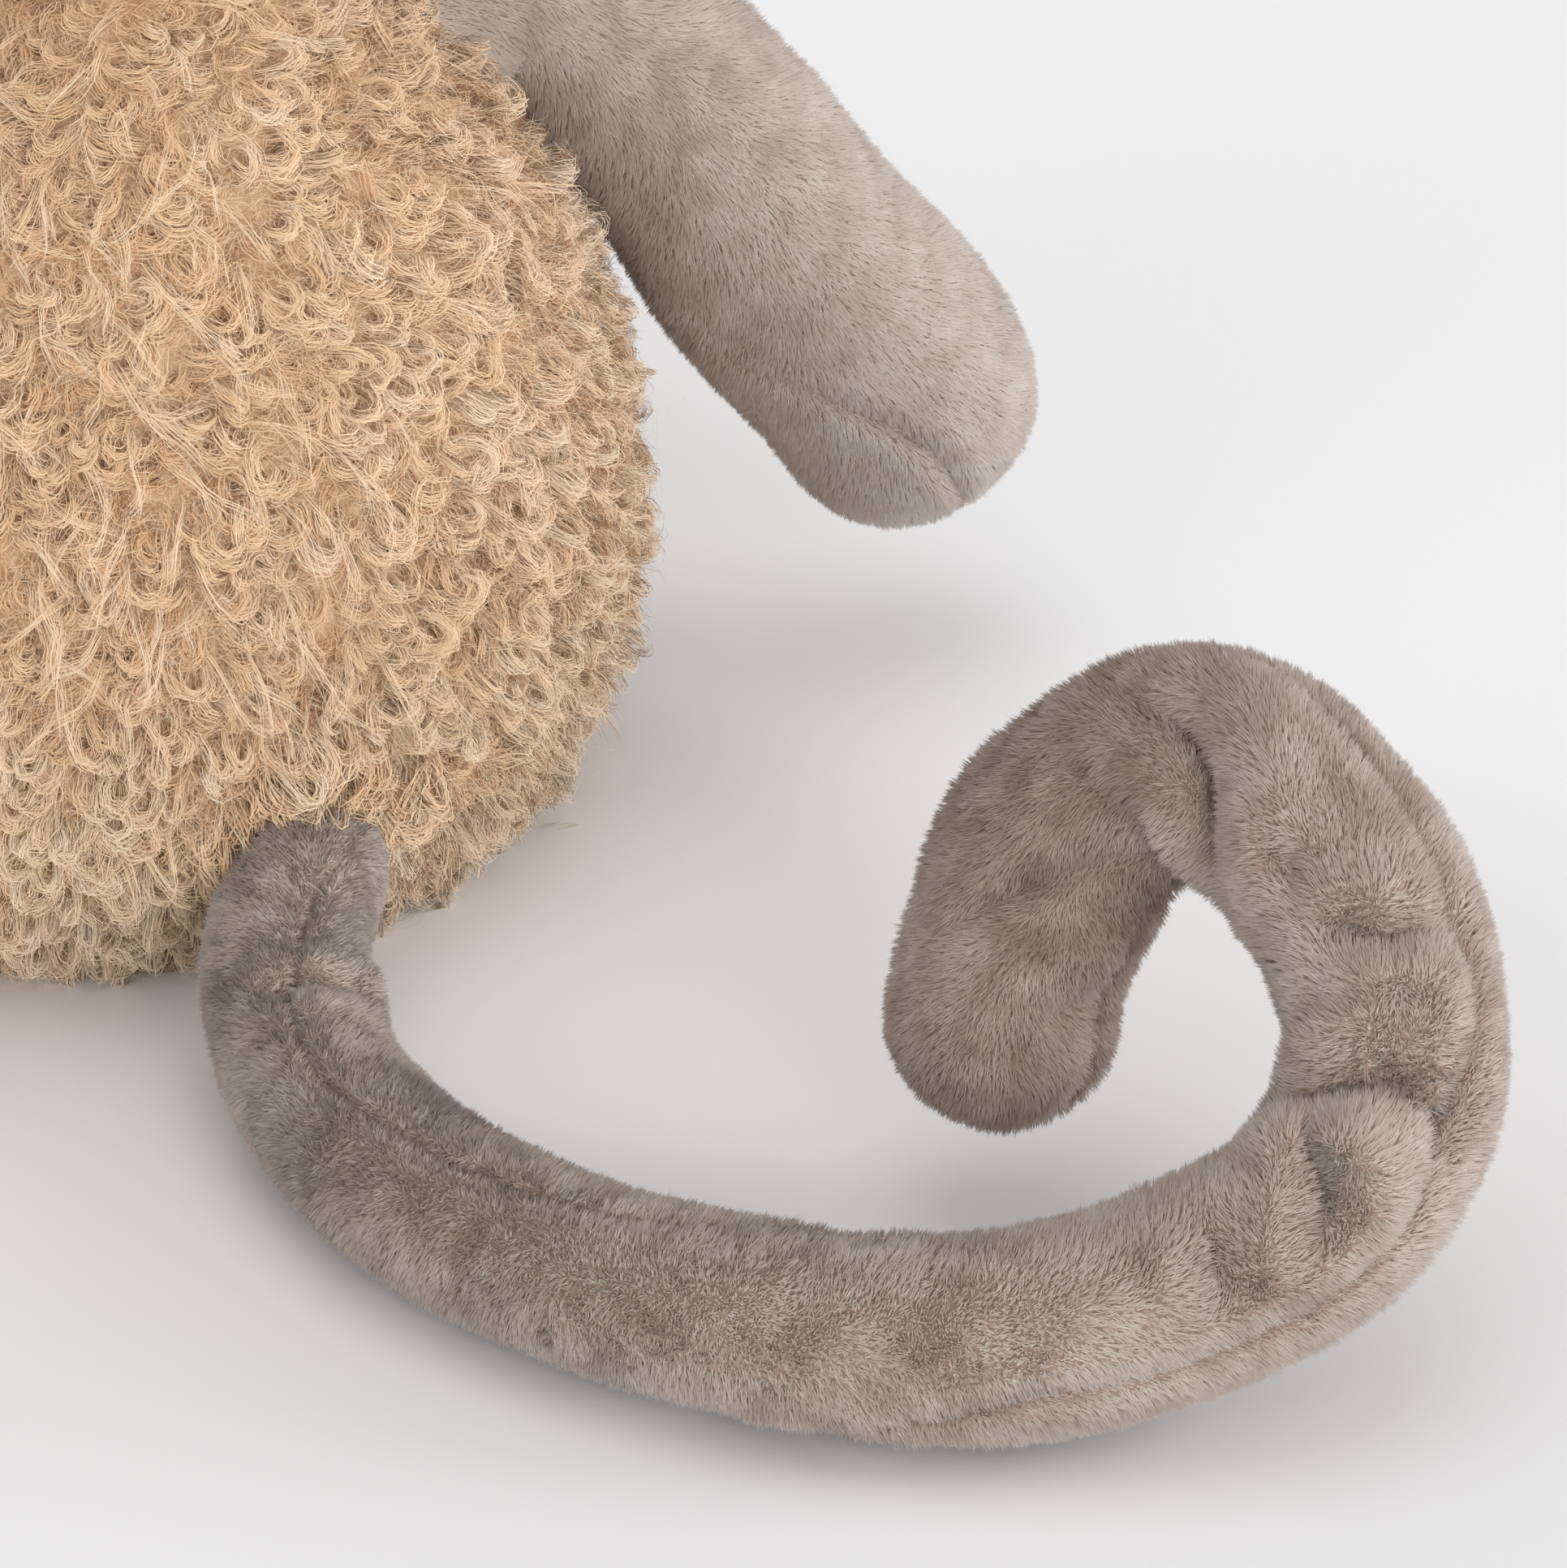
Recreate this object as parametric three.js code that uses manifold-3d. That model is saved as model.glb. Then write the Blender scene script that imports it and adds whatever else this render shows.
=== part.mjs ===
// A stuffed monkey that sits by itself: a curly body and head, short-pile limbs, and a long tail that
// sweeps round to its right and stands up in a hook.
// Millimetres, +Z up. It faces -Y, and its flat seat lies on Z = 0 with the body's axis at X = Y = 0.
import * as THREE from 'three';
import { mergeVertices } from 'three/addons/utils/BufferGeometryUtils.js';
import Module from 'manifold-3d';

// Cloth and seams
const CURLY_CLOTH = 4;
const SHORT_CLOTH = 2.4;
const SEAM_GAP = 0.3;
const PILE_CLEARANCE = 2;

// Body
const BODY_HEIGHT = 128;
const BODY_WIDEST_HEIGHT = 40;
const BODY_HALF_WIDTH = 68.5;
const BODY_HALF_DEPTH = 62.5;
const SEAT_HALF_WIDTH = 44;
const SEAT_HALF_DEPTH = 40;
const SEAT_SEAM_INSET = 3;
const NECK_RADIUS = 28.5;
const SHOULDER_FULLNESS = 2;
const SIDE_SEAM_BACK = 6;
const PELLET_BAG_RADIUS = 34;
const PELLET_BAG_HEIGHT = 22;

// Head, with the neck seam cutting its underside flat
const HEAD_HALF_WIDTH = 54;
const HEAD_HALF_DEPTH = 49;
const HEAD_HALF_HEIGHT = 46;
const HEAD_FORWARD = 4;
const NECK_SEAM_DEPTH = 4;
const FACE_HALF_WIDTH = 33;
const FACE_HALF_HEIGHT = 34;
const FACE_DROP = 3;
const MUZZLE_HALF_WIDTH = 23;
const MUZZLE_HALF_DEPTH = 16;
const MUZZLE_HALF_HEIGHT = 17;
const MUZZLE_DROP = 14;
const MUZZLE_SINK = 5;
const EYE_RADIUS = 5.5;
const EYE_DOME = 4;
const EYE_SPACING = 34;
const EYE_RISE = 8;
const STEM_RADIUS = 1.8;
const STEM_LENGTH = 12;
const WASHER_RADIUS = 6;
const WASHER_THICKNESS = 1.6;

// Ears
const EAR_HALF_WIDTH = 20;
const EAR_HALF_HEIGHT = 21;
const EAR_HALF_THICKNESS = 6;
const EAR_SINK = 4;
const EAR_RISE = 3;
const EAR_FLAP_DEGREES = 20;

// Arms, each in an upright plane through the side seam
const SHOULDER_HEIGHT = 110;
const SHOULDER_FLAT_DEPTH = 1.5;
const SHOULDER_HALF_WIDTH = 14.8;
const SHOULDER_HALF_THICKNESS = 13.3;
const HAND_HALF_WIDTH = 18.7;
const HAND_HALF_THICKNESS = 17.2;
const ARM_ROUTE = [[-12, 2.5], [0, 0], [14, 3], [31, -11], [42, -25], [57, -47], [73, -67.5], [80.5, -88]];

// Legs, flattened at the hip seam so that they fold there
const HIP_SPREAD_DEGREES = 30;
const HIP_HALF_WIDTH = 15;
const HIP_HALF_THICKNESS = 4;
const LEG_RADIUS = 16.5;
const FOOT_HALF_WIDTH = 18.5;
const LEG_SWELL_LENGTH = 50;
const LEG_LENGTH = 100;
const FOOT_RISE = 28;
// Shares of the leg's length and of the foot's rise along its middle line
const LEG_ROUTE = [[0, 0], [0.35, 0], [0.7, 0], [0.93, 0.22], [1, 1]];
const FOOT_CAP = 15;

// Tail
const TAIL_ROOT_RADIUS = 9.2;
const TAIL_END_RADIUS = 12.6;
const TAIL_ROOT_HEIGHT = 19;
const TAIL_ROOT_STAND_OFF = 5.5;
const TAIL_SEAM_TURN_DEGREES = 30;
// Sideways, backwards and upwards from the root: along the floor, up, over and down to the tip
const TAIL_ROUTE = [
  [0, 0, 0], [9, 13, -4], [15, 32, -6.5], [17, 52, -7.2], [11, 82, -7.2], [-5, 109, -7], [-27, 130, -5.5],
  [-51, 138, -1], [-68, 142, 9], [-79, 137, 24], [-80, 120, 40], [-75, 100, 45], [-64, 89, 35],
  [-57, 85, 14], [-53, 86, -5],
];

// Facets
const BODY_SIDES = 24;
const HEAD_SIDES = 20;
const LIMB_SIDES = 12;
const FILL_SIDES = 8;
const EYE_SIDES = 10;

const CURLY = { color: 0xc8a985, roughness: 1, metalness: 0 };
const SHORT = { color: 0xa99588, roughness: 1, metalness: 0 };
const FILL = { color: 0xf2efe8, roughness: 1, metalness: 0 };
const PELLETS = { color: 0xd9d4c8, roughness: 0.9, metalness: 0 };
const BLACK_PLASTIC = { color: 0x120f0d, roughness: 0.12, metalness: 0 };
const WHITE_PLASTIC = { color: 0xe8e8e4, roughness: 0.5, metalness: 0 };

const UP = new THREE.Vector3(0, 0, 1);
const wasm = await Module();
wasm.setup();

function toSolid(geometry) {
  const bare = geometry.clone();
  bare.deleteAttribute('normal');
  bare.deleteAttribute('uv');
  const merged = mergeVertices(bare, 1e-4);
  const corners = merged.index.array;
  const triangles = [];
  for (let i = 0; i < corners.length; i += 3) {
    const [a, b, c] = corners.slice(i, i + 3);
    if (a !== b && b !== c && c !== a) triangles.push(a, b, c);
  }
  return new wasm.Manifold(new wasm.Mesh({
    numProp: 3,
    vertProperties: new Float32Array(merged.attributes.position.array),
    triVerts: new Uint32Array(triangles),
  }));
}

function toGeometry(solid) {
  const mesh = solid.getMesh();
  const geometry = new THREE.BufferGeometry();
  geometry.setAttribute('position', new THREE.BufferAttribute(mesh.vertProperties, 3));
  geometry.setIndex(new THREE.BufferAttribute(mesh.triVerts, 1));
  geometry.computeVertexNormals();
  return geometry;
}

// The same piece on the other side of the body
function mirrored(geometry) {
  const copy = geometry.clone();
  copy.scale(-1, 1, 1);
  const corners = copy.index.array;
  for (let i = 0; i < corners.length; i += 3) {
    [corners[i + 1], corners[i + 2]] = [corners[i + 2], corners[i + 1]];
  }
  copy.computeVertexNormals();
  return copy;
}

// Cross-sections, counter-clockwise about the direction of travel
const oval = (sides) => ({ halfWidth, halfHeight }) => Array.from({ length: sides }, (_, k) => {
  const angle = (2 * Math.PI * k) / sides;
  return [halfWidth * Math.cos(angle), halfHeight * Math.sin(angle)];
});

// One half of a skin, open towards the stuffing and kept clear of the seam between the two halves
const halfSkin = (sides, sign) => ({ halfWidth, halfHeight, wall }) => {
  const arc = (width, height) => Array.from({ length: sides + 1 }, (_, k) => {
    const first = Math.asin(Math.min(SEAM_GAP / 2 / height, 0.9));
    const angle = first + ((Math.PI - 2 * first) * k) / sides;
    return [sign * width * Math.cos(angle), sign * height * Math.sin(angle)];
  });
  return [...arc(halfWidth, halfHeight), ...arc(halfWidth * wall[0], halfHeight * wall[1]).reverse()];
};

// A closed skin through a row of stations. A ring's ends close on its middle, a half skin's on itself.
function loft(stations, section, hollow = false) {
  const positions = [];
  const index = [];
  const rings = stations.map((s) => section(s).map(([a, b]) => (
    s.centre.clone().addScaledVector(s.across, a).addScaledVector(s.up, b))));
  const sides = rings[0].length;
  for (const point of rings.flat()) positions.push(point.x, point.y, point.z);
  for (let ring = 0; ring + 1 < rings.length; ring++) {
    for (let k = 0; k < sides; k++) {
      const here = ring * sides + k;
      const next = ring * sides + (k + 1) % sides;
      index.push(here, next, next + sides, here, next + sides, here + sides);
    }
  }
  const addFace = (corners, flip) => index.push(...(flip ? corners.reverse() : corners));
  const addCap = (ring, flip) => {
    const first = ring * sides;
    if (hollow) {
      for (let k = 0; k + 1 < sides / 2; k++) {
        const [outer, inner] = [first + k, first + sides - 1 - k];
        addFace([outer, outer + 1, inner - 1], flip);
        addFace([outer, inner - 1, inner], flip);
      }
      return;
    }
    const middle = rings[ring].reduce((sum, p) => sum.add(p), new THREE.Vector3()).divideScalar(sides);
    const apex = positions.length / 3;
    positions.push(middle.x, middle.y, middle.z);
    for (let k = 0; k < sides; k++) addFace([apex, first + k, first + (k + 1) % sides], flip);
  };
  addCap(0, true);
  addCap(rings.length - 1, false);
  const geometry = new THREE.BufferGeometry();
  geometry.setAttribute('position', new THREE.Float32BufferAttribute(positions, 3));
  geometry.setIndex(index);
  return toSolid(geometry);
}

// Everything on the far side of a plane, large enough for the whole toy
function beyond(point, normal) {
  const reach = 2 * (BODY_HEIGHT + BODY_HALF_WIDTH + LEG_LENGTH);
  const box = new THREE.BoxGeometry(2 * reach, 2 * reach, reach);
  box.translate(0, 0, reach / 2);
  box.applyQuaternion(new THREE.Quaternion().setFromUnitVectors(UP, normal));
  box.translate(point.x, point.y, point.z);
  return toSolid(box);
}

function ellipsoid(centre, halfWidth, halfDepth, halfHeight, sides) {
  const ball = new THREE.SphereGeometry(1, sides, sides / 2);
  ball.rotateX(Math.PI / 2);
  ball.scale(halfWidth, halfDepth, halfHeight);
  ball.translate(centre.x, centre.y, centre.z);
  return toSolid(ball);
}

// A turned piece standing along a direction, from [radius, height] pairs that start and end on its axis
function turned(profile, base, direction, sides) {
  const lathe = new THREE.LatheGeometry(profile.map(([r, h]) => new THREE.Vector2(r, h)), sides);
  lathe.applyQuaternion(new THREE.Quaternion().setFromUnitVectors(new THREE.Vector3(0, 1, 0), direction));
  lathe.translate(base.x, base.y, base.z);
  return toSolid(lathe);
}

const smooth = (t) => {
  const c = Math.min(Math.max(t, 0), 1);
  return c * c * (3 - 2 * c);
};

// The body's outline: a rounded seat, its widest low down, then full shoulders up to the neck
function bodyHalf(height, seat, widest) {
  if (height < BODY_WIDEST_HEIGHT) {
    const below = 1 - height / BODY_WIDEST_HEIGHT;
    return seat + (widest - seat) * Math.sqrt(1 - below * below);
  }
  const above = (height - BODY_WIDEST_HEIGHT) / (BODY_HEIGHT - BODY_WIDEST_HEIGHT);
  return NECK_RADIUS + (widest - NECK_RADIUS) * (1 - above ** SHOULDER_FULLNESS);
}

function bodyForm(inset, sides) {
  const low = [0, 22, 45, 68].map((a) => BODY_WIDEST_HEIGHT * (1 - Math.cos(THREE.MathUtils.degToRad(a))));
  const high = [0, 0.2, 0.4, 0.58, 0.74, 0.87, 1].map((t) => (
    BODY_WIDEST_HEIGHT + t * (BODY_HEIGHT - BODY_WIDEST_HEIGHT)));
  const stations = [...low, ...high].map((height) => ({
    centre: new THREE.Vector3(0, 0, inset + height * (1 - 2 * inset / BODY_HEIGHT)),
    across: new THREE.Vector3(1, 0, 0),
    up: new THREE.Vector3(0, 1, 0),
    halfWidth: bodyHalf(height, SEAT_HALF_WIDTH, BODY_HALF_WIDTH) - inset,
    halfHeight: bodyHalf(height, SEAT_HALF_DEPTH, BODY_HALF_DEPTH) - inset,
  }));
  return loft(stations, oval(sides));
}

// Stations of a limb that swells from its root to its end along a route, shrunk by an inset on every side.
// The end is round. The root is round too, or folded flat along a seam, or left open for a flat cut.
function limbStations({ curve, across, root, end, swell, heel, foldedHeel, endCap, steps }, inset) {
  const length = curve.getLength();
  const arc = [12, 30, 52, 75].map((angle) => 1 - Math.cos(THREE.MathUtils.degToRad(angle)));
  const heelLength = heel > 0 ? heel - inset : 0;
  const start = heel > 0 ? inset - heel : 0;
  const capLength = endCap - inset;
  const stop = length - inset;
  const span = stop - capLength - start - heelLength;
  const distances = [
    ...arc.filter(() => heel > 0).map((t) => start + heelLength * t),
    ...Array.from({ length: steps + 1 }, (_, k) => start + heelLength + (span * k) / steps),
    ...arc.toReversed().map((t) => stop - capLength * t),
  ];
  const side = across.clone();
  return distances.map((s) => {
    const u = THREE.MathUtils.clamp(s / length, 0, 1);
    const along = curve.getTangentAt(u);
    const centre = curve.getPointAt(u).addScaledVector(along, s - u * length);
    side.addScaledVector(along, -side.dot(along)).normalize();
    const grown = smooth(s / swell);
    const full = [0, 1].map((axis) => root[axis] + (end[axis] - root[axis]) * grown);
    const tip = Math.max(0, 1 - (stop - s) / capLength);
    const back = heel > 0 ? Math.max(0, 1 - (s - start) / heelLength) : 0;
    const tipTaper = Math.sqrt(1 - tip * tip);
    const heelTaper = Math.sqrt(1 - back * back);
    return {
      centre,
      across: side.clone(),
      up: along.clone().cross(side),
      halfWidth: (full[0] - inset) * tipTaper * (foldedHeel ? 1 : heelTaper),
      halfHeight: (full[1] - inset) * tipTaper * heelTaper,
      wall: full.map((half) => 1 - SHORT_CLOTH / half),
    };
  });
}

// Two half skins and the stuffing between them
function sewnLimb(limb, trim) {
  const skin = (sign) => trim(loft(limbStations(limb, 0), halfSkin(LIMB_SIDES / 2, sign), true));
  const fill = loft(limbStations(limb, SHORT_CLOTH + 3 * SEAM_GAP), oval(FILL_SIDES));
  return { upper: skin(1), lower: skin(-1), fill: trim(fill) };
}

const group = new THREE.Group();
function addTo(parent, name, shape, look) {
  const geometry = shape.isBufferGeometry ? shape : toGeometry(shape);
  const mesh = new THREE.Mesh(geometry, new THREE.MeshStandardMaterial(look));
  mesh.name = name;
  parent.add(mesh);
  return geometry;
}
function addPair(parent, name, part, shape, look) {
  const geometry = addTo(parent, `${name}_right${part}`, shape, look);
  addTo(parent, `${name}_left${part}`, mirrored(geometry), look);
}

// Body: two back panels with a centre seam, a belly panel, an oval seat, stuffing and a bag of pellets.
// Flats at the shoulders take the arms, and a hollow on the centre seam takes the tail.
const shoulderSurface = bodyHalf(SHOULDER_HEIGHT, SEAT_HALF_WIDTH, BODY_HALF_WIDTH);
const shoulderSlope = bodyHalf(SHOULDER_HEIGHT + 1, SEAT_HALF_WIDTH, BODY_HALF_WIDTH) - shoulderSurface;
const shoulderNormal = new THREE.Vector3(-1, 0, -shoulderSlope).normalize();
const shoulder = new THREE.Vector3(-shoulderSurface, SIDE_SEAM_BACK, SHOULDER_HEIGHT)
  .addScaledVector(shoulderNormal, -SHOULDER_FLAT_DEPTH);
const tailRoot = new THREE.Vector3(
  0, bodyHalf(TAIL_ROOT_HEIGHT, SEAT_HALF_DEPTH, BODY_HALF_DEPTH) + TAIL_ROOT_STAND_OFF, TAIL_ROOT_HEIGHT);
const flipped = (v) => new THREE.Vector3(-v.x, v.y, v.z);
const tailHollow = (radius) => ellipsoid(tailRoot, radius, radius, radius, 2 * LIMB_SIDES);
const bodyCuts = (form, gap) => {
  const flat = shoulder.clone().addScaledVector(shoulderNormal, -gap);
  return form
    .subtract(beyond(flat, shoulderNormal))
    .subtract(beyond(flipped(flat), flipped(shoulderNormal)))
    .subtract(tailHollow(TAIL_ROOT_RADIUS + 2 * SEAM_GAP + gap));
};

const seatPrism = (grow) => loft([-BODY_HEIGHT, CURLY_CLOTH + SEAT_SEAM_INSET].map((z) => ({
  centre: new THREE.Vector3(0, 0, z),
  across: new THREE.Vector3(1, 0, 0),
  up: new THREE.Vector3(0, 1, 0),
  halfWidth: SEAT_HALF_WIDTH - SEAT_SEAM_INSET + grow,
  halfHeight: SEAT_HALF_DEPTH - SEAT_SEAM_INSET + grow,
})), oval(BODY_SIDES));
const bodySkin = bodyCuts(bodyForm(0, BODY_SIDES).subtract(bodyForm(CURLY_CLOTH, BODY_SIDES)), 0);
const bodySides = bodySkin.subtract(seatPrism(SEAM_GAP));
const sideSeam = (shift) => new THREE.Vector3(0, SIDE_SEAM_BACK + shift, 0);
const backSkin = bodySides.intersect(beyond(sideSeam(SEAM_GAP / 2), new THREE.Vector3(0, 1, 0)));
const backSeam = new THREE.Vector3(-SEAM_GAP / 2, 0, 0);
const pelletBag = (grow) => ellipsoid(
  new THREE.Vector3(0, 0, CURLY_CLOTH + SEAM_GAP + PELLET_BAG_HEIGHT / 2),
  PELLET_BAG_RADIUS + grow, PELLET_BAG_RADIUS + grow, PELLET_BAG_HEIGHT / 2 + grow, BODY_SIDES / 2);

const body = new THREE.Group();
addPair(body, 'back', '_panel', backSkin.intersect(beyond(backSeam, new THREE.Vector3(-1, 0, 0))), CURLY);
addTo(body, 'belly_panel',
  bodySides.intersect(beyond(sideSeam(-SEAM_GAP / 2), new THREE.Vector3(0, -1, 0))), CURLY);
addTo(body, 'seat_panel', bodySkin.intersect(seatPrism(0)), CURLY);
addTo(body, 'body_stuffing', bodyCuts(bodyForm(CURLY_CLOTH + SEAM_GAP, BODY_SIDES / 2), SEAM_GAP)
  .subtract(pelletBag(SEAM_GAP)), FILL);
addTo(body, 'pellet_bag', pelletBag(0), PELLETS);
group.add(body);

// Head: two curly panels round a short-pile face, a muzzle, and eyes locked by washers behind the cloth
const headCentre = new THREE.Vector3(
  0, -HEAD_FORWARD, BODY_HEIGHT + SEAM_GAP + HEAD_HALF_HEIGHT - NECK_SEAM_DEPTH);
const neckSeam = new THREE.Vector3(0, 0, BODY_HEIGHT + SEAM_GAP);
const headForm = (inset, sides) => ellipsoid(
  headCentre, HEAD_HALF_WIDTH - inset, HEAD_HALF_DEPTH - inset, HEAD_HALF_HEIGHT - inset, sides);
const facePrism = (grow) => loft([0, -2 * HEAD_HALF_DEPTH].map((y) => ({
  centre: new THREE.Vector3(0, headCentre.y + y, headCentre.z - FACE_DROP),
  across: new THREE.Vector3(1, 0, 0),
  up: new THREE.Vector3(0, 0, 1),
  halfWidth: FACE_HALF_WIDTH + grow,
  halfHeight: FACE_HALF_HEIGHT + grow,
})), oval(HEAD_SIDES));
const aboveNeck = (solid) => solid.intersect(beyond(neckSeam, UP));
const headSkin = aboveNeck(headForm(0, HEAD_SIDES).subtract(headForm(CURLY_CLOTH, HEAD_SIDES)))
  .subtract(facePrism(SEAM_GAP));
const faceSkin = headForm(0, HEAD_SIDES)
  .subtract(headForm(SHORT_CLOTH, HEAD_SIDES))
  .intersect(facePrism(0));

const eyeSeat = new THREE.Vector3(-EYE_SPACING / 2, 0, EYE_RISE);
eyeSeat.y = -HEAD_HALF_DEPTH
  * Math.sqrt(1 - (eyeSeat.x / HEAD_HALF_WIDTH) ** 2 - (eyeSeat.z / HEAD_HALF_HEIGHT) ** 2);
const eyeAxis = new THREE.Vector3(
  eyeSeat.x / HEAD_HALF_WIDTH ** 2,
  eyeSeat.y / HEAD_HALF_DEPTH ** 2,
  eyeSeat.z / HEAD_HALF_HEIGHT ** 2,
).normalize();
const eyeBase = eyeSeat.clone().add(headCentre).addScaledVector(eyeAxis, SEAM_GAP);
// The flat washer clears the hollow of the cloth behind it, and the depth of a facet there
const facetDepth = 2 * HEAD_HALF_WIDTH * (1 - Math.cos(Math.PI / HEAD_SIDES));
const clothHollow = WASHER_RADIUS ** 2 / (2 * HEAD_HALF_HEIGHT) + facetDepth;
const washerBack = -(SHORT_CLOTH + 2 * SEAM_GAP + clothHollow);
const dome = [0, 25, 50, 72].map((a) => [
  EYE_RADIUS * Math.cos(THREE.MathUtils.degToRad(a)), EYE_DOME * Math.sin(THREE.MathUtils.degToRad(a))]);
const onEyeAxis = (profile) => turned(profile, eyeBase, eyeAxis, EYE_SIDES);
const eye = onEyeAxis([
  [0, -STEM_LENGTH], [STEM_RADIUS, -STEM_LENGTH], [STEM_RADIUS, 0], ...dome, [0, EYE_DOME]]);
const rod = (radius, low, high) => onEyeAxis([[0, low], [radius, low], [radius, high], [0, high]]);
const washer = rod(WASHER_RADIUS, washerBack - WASHER_THICKNESS, washerBack)
  .subtract(rod(STEM_RADIUS + SEAM_GAP, -STEM_LENGTH, 0));
const stemHole = rod(STEM_RADIUS + SEAM_GAP, -STEM_LENGTH - SEAM_GAP, EYE_DOME);
const washerPocket = rod(
  WASHER_RADIUS + SEAM_GAP, washerBack - WASHER_THICKNESS - SEAM_GAP, EYE_DOME).add(stemHole);
const bothSides = (solid) => solid.add(toSolid(mirrored(toGeometry(solid))));

const muzzleCentre = new THREE.Vector3(
  0, headCentre.y - HEAD_HALF_DEPTH + MUZZLE_SINK, headCentre.z - MUZZLE_DROP);
const muzzleForm = (inset) => ellipsoid(muzzleCentre, MUZZLE_HALF_WIDTH - inset, MUZZLE_HALF_DEPTH - inset,
  MUZZLE_HALF_HEIGHT - inset, LIMB_SIDES);
const onFace = (solid) => solid.subtract(headForm(-SEAM_GAP, HEAD_SIDES));
const headFill = headForm(CURLY_CLOTH + SEAM_GAP, HEAD_SIDES / 2)
  .add(headForm(SHORT_CLOTH + SEAM_GAP, HEAD_SIDES / 2).intersect(facePrism(-SEAM_GAP)));

const head = new THREE.Group();
addPair(head, 'head', '_panel', headSkin.intersect(beyond(backSeam, new THREE.Vector3(-1, 0, 0))), CURLY);
addTo(head, 'face_panel', aboveNeck(faceSkin).subtract(bothSides(stemHole)), SHORT);
addTo(head, 'muzzle_panel', onFace(muzzleForm(0).subtract(muzzleForm(SHORT_CLOTH))), SHORT);
addTo(head, 'muzzle_stuffing', onFace(muzzleForm(SHORT_CLOTH + SEAM_GAP)), FILL);
addTo(head, 'head_stuffing', aboveNeck(headFill).subtract(bothSides(washerPocket)), FILL);
addPair(head, 'eye', '', eye, BLACK_PLASTIC);
addPair(head, 'eye', '_washer', washer, WHITE_PLASTIC);
group.add(head);

// Ears: a front and a back cloth, narrowed at the seam so that they can flap
const earHinge = new THREE.Vector3(
  -HEAD_HALF_WIDTH * Math.sqrt(1 - (EAR_RISE / HEAD_HALF_HEIGHT) ** 2),
  headCentre.y,
  headCentre.z + EAR_RISE,
);
const earCentre = earHinge.clone().add(new THREE.Vector3(EAR_SINK - EAR_HALF_WIDTH, 0, 0));
const headTurnedAtEar = (degrees) => {
  const solid = toGeometry(headForm(-SEAM_GAP, HEAD_SIDES));
  solid.translate(-earHinge.x, -earHinge.y, -earHinge.z);
  solid.rotateZ(THREE.MathUtils.degToRad(degrees));
  solid.translate(earHinge.x, earHinge.y, earHinge.z);
  return toSolid(solid);
};
const ear = [-EAR_FLAP_DEGREES, 0, EAR_FLAP_DEGREES].reduce(
  (solid, degrees) => solid.subtract(headTurnedAtEar(degrees)),
  ellipsoid(earCentre, EAR_HALF_WIDTH, EAR_HALF_THICKNESS, EAR_HALF_HEIGHT, LIMB_SIDES + 4));
const ears = new THREE.Group();
for (const [part, sign] of [['_front', -1], ['_back', 1]]) {
  const seam = new THREE.Vector3(0, headCentre.y + (sign * SEAM_GAP) / 2, 0);
  addPair(ears, 'ear', part, ear.intersect(beyond(seam, new THREE.Vector3(0, sign, 0))), SHORT);
}
group.add(ears);

// Arms: out from the shoulder flat, then down to a wide rounded hand
const armCurve = new THREE.CatmullRomCurve3(ARM_ROUTE.map(([out, rise]) => (
  new THREE.Vector3(shoulder.x - out, shoulder.y, shoulder.z + rise))));
const clearOfBody = bodyCuts(bodyForm(-SEAM_GAP, BODY_SIDES), -SEAM_GAP);
const shoulderSeat = turned([
  [0, -2 * HAND_HALF_WIDTH], [2 * SHOULDER_HALF_WIDTH, -2 * HAND_HALF_WIDTH],
  [2 * SHOULDER_HALF_WIDTH, SEAM_GAP], [0, SEAM_GAP],
], shoulder, shoulderNormal, BODY_SIDES);
const arm = sewnLimb({
  curve: armCurve,
  across: UP,
  root: [SHOULDER_HALF_WIDTH, SHOULDER_HALF_THICKNESS],
  end: [HAND_HALF_WIDTH, HAND_HALF_THICKNESS],
  swell: armCurve.getLength(),
  heel: 0,
  foldedHeel: false,
  endCap: HAND_HALF_WIDTH,
  steps: 9,
}, (solid) => solid.subtract(shoulderSeat).subtract(clearOfBody));
const arms = new THREE.Group();
addPair(arms, 'arm', '_back_panel', arm.upper, SHORT);
addPair(arms, 'arm', '_front_panel', arm.lower, SHORT);
addPair(arms, 'arm', '_stuffing', arm.fill, FILL);
group.add(arms);

// Legs: flat at the hip seam, round along the floor, with the foot turned up
const hipHeight = LEG_RADIUS + PILE_CLEARANCE;
const hipSpread = THREE.MathUtils.degToRad(HIP_SPREAD_DEGREES);
const legOut = new THREE.Vector3(-Math.sin(hipSpread), -Math.cos(hipSpread), 0);
const hipWidth = bodyHalf(hipHeight, SEAT_HALF_WIDTH, BODY_HALF_WIDTH);
const hipDepth = bodyHalf(hipHeight, SEAT_HALF_DEPTH, BODY_HALF_DEPTH);
const hipReach = 1 / Math.hypot(legOut.x / hipWidth, legOut.y / hipDepth);
const hip = legOut.clone().multiplyScalar(hipReach + HIP_HALF_THICKNESS + SEAM_GAP).setZ(hipHeight);
const legCurve = new THREE.CatmullRomCurve3(LEG_ROUTE.map(([out, rise]) => (
  hip.clone().addScaledVector(legOut, out * LEG_LENGTH).addScaledVector(UP, rise * FOOT_RISE))));
const leg = sewnLimb({
  curve: legCurve,
  across: UP.clone().cross(legOut),
  root: [HIP_HALF_WIDTH, HIP_HALF_THICKNESS],
  end: [FOOT_HALF_WIDTH, LEG_RADIUS],
  swell: LEG_SWELL_LENGTH,
  heel: HIP_HALF_THICKNESS,
  foldedHeel: true,
  endCap: FOOT_CAP,
  steps: 7,
}, (solid) => solid.subtract(clearOfBody));
const legs = new THREE.Group();
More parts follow.
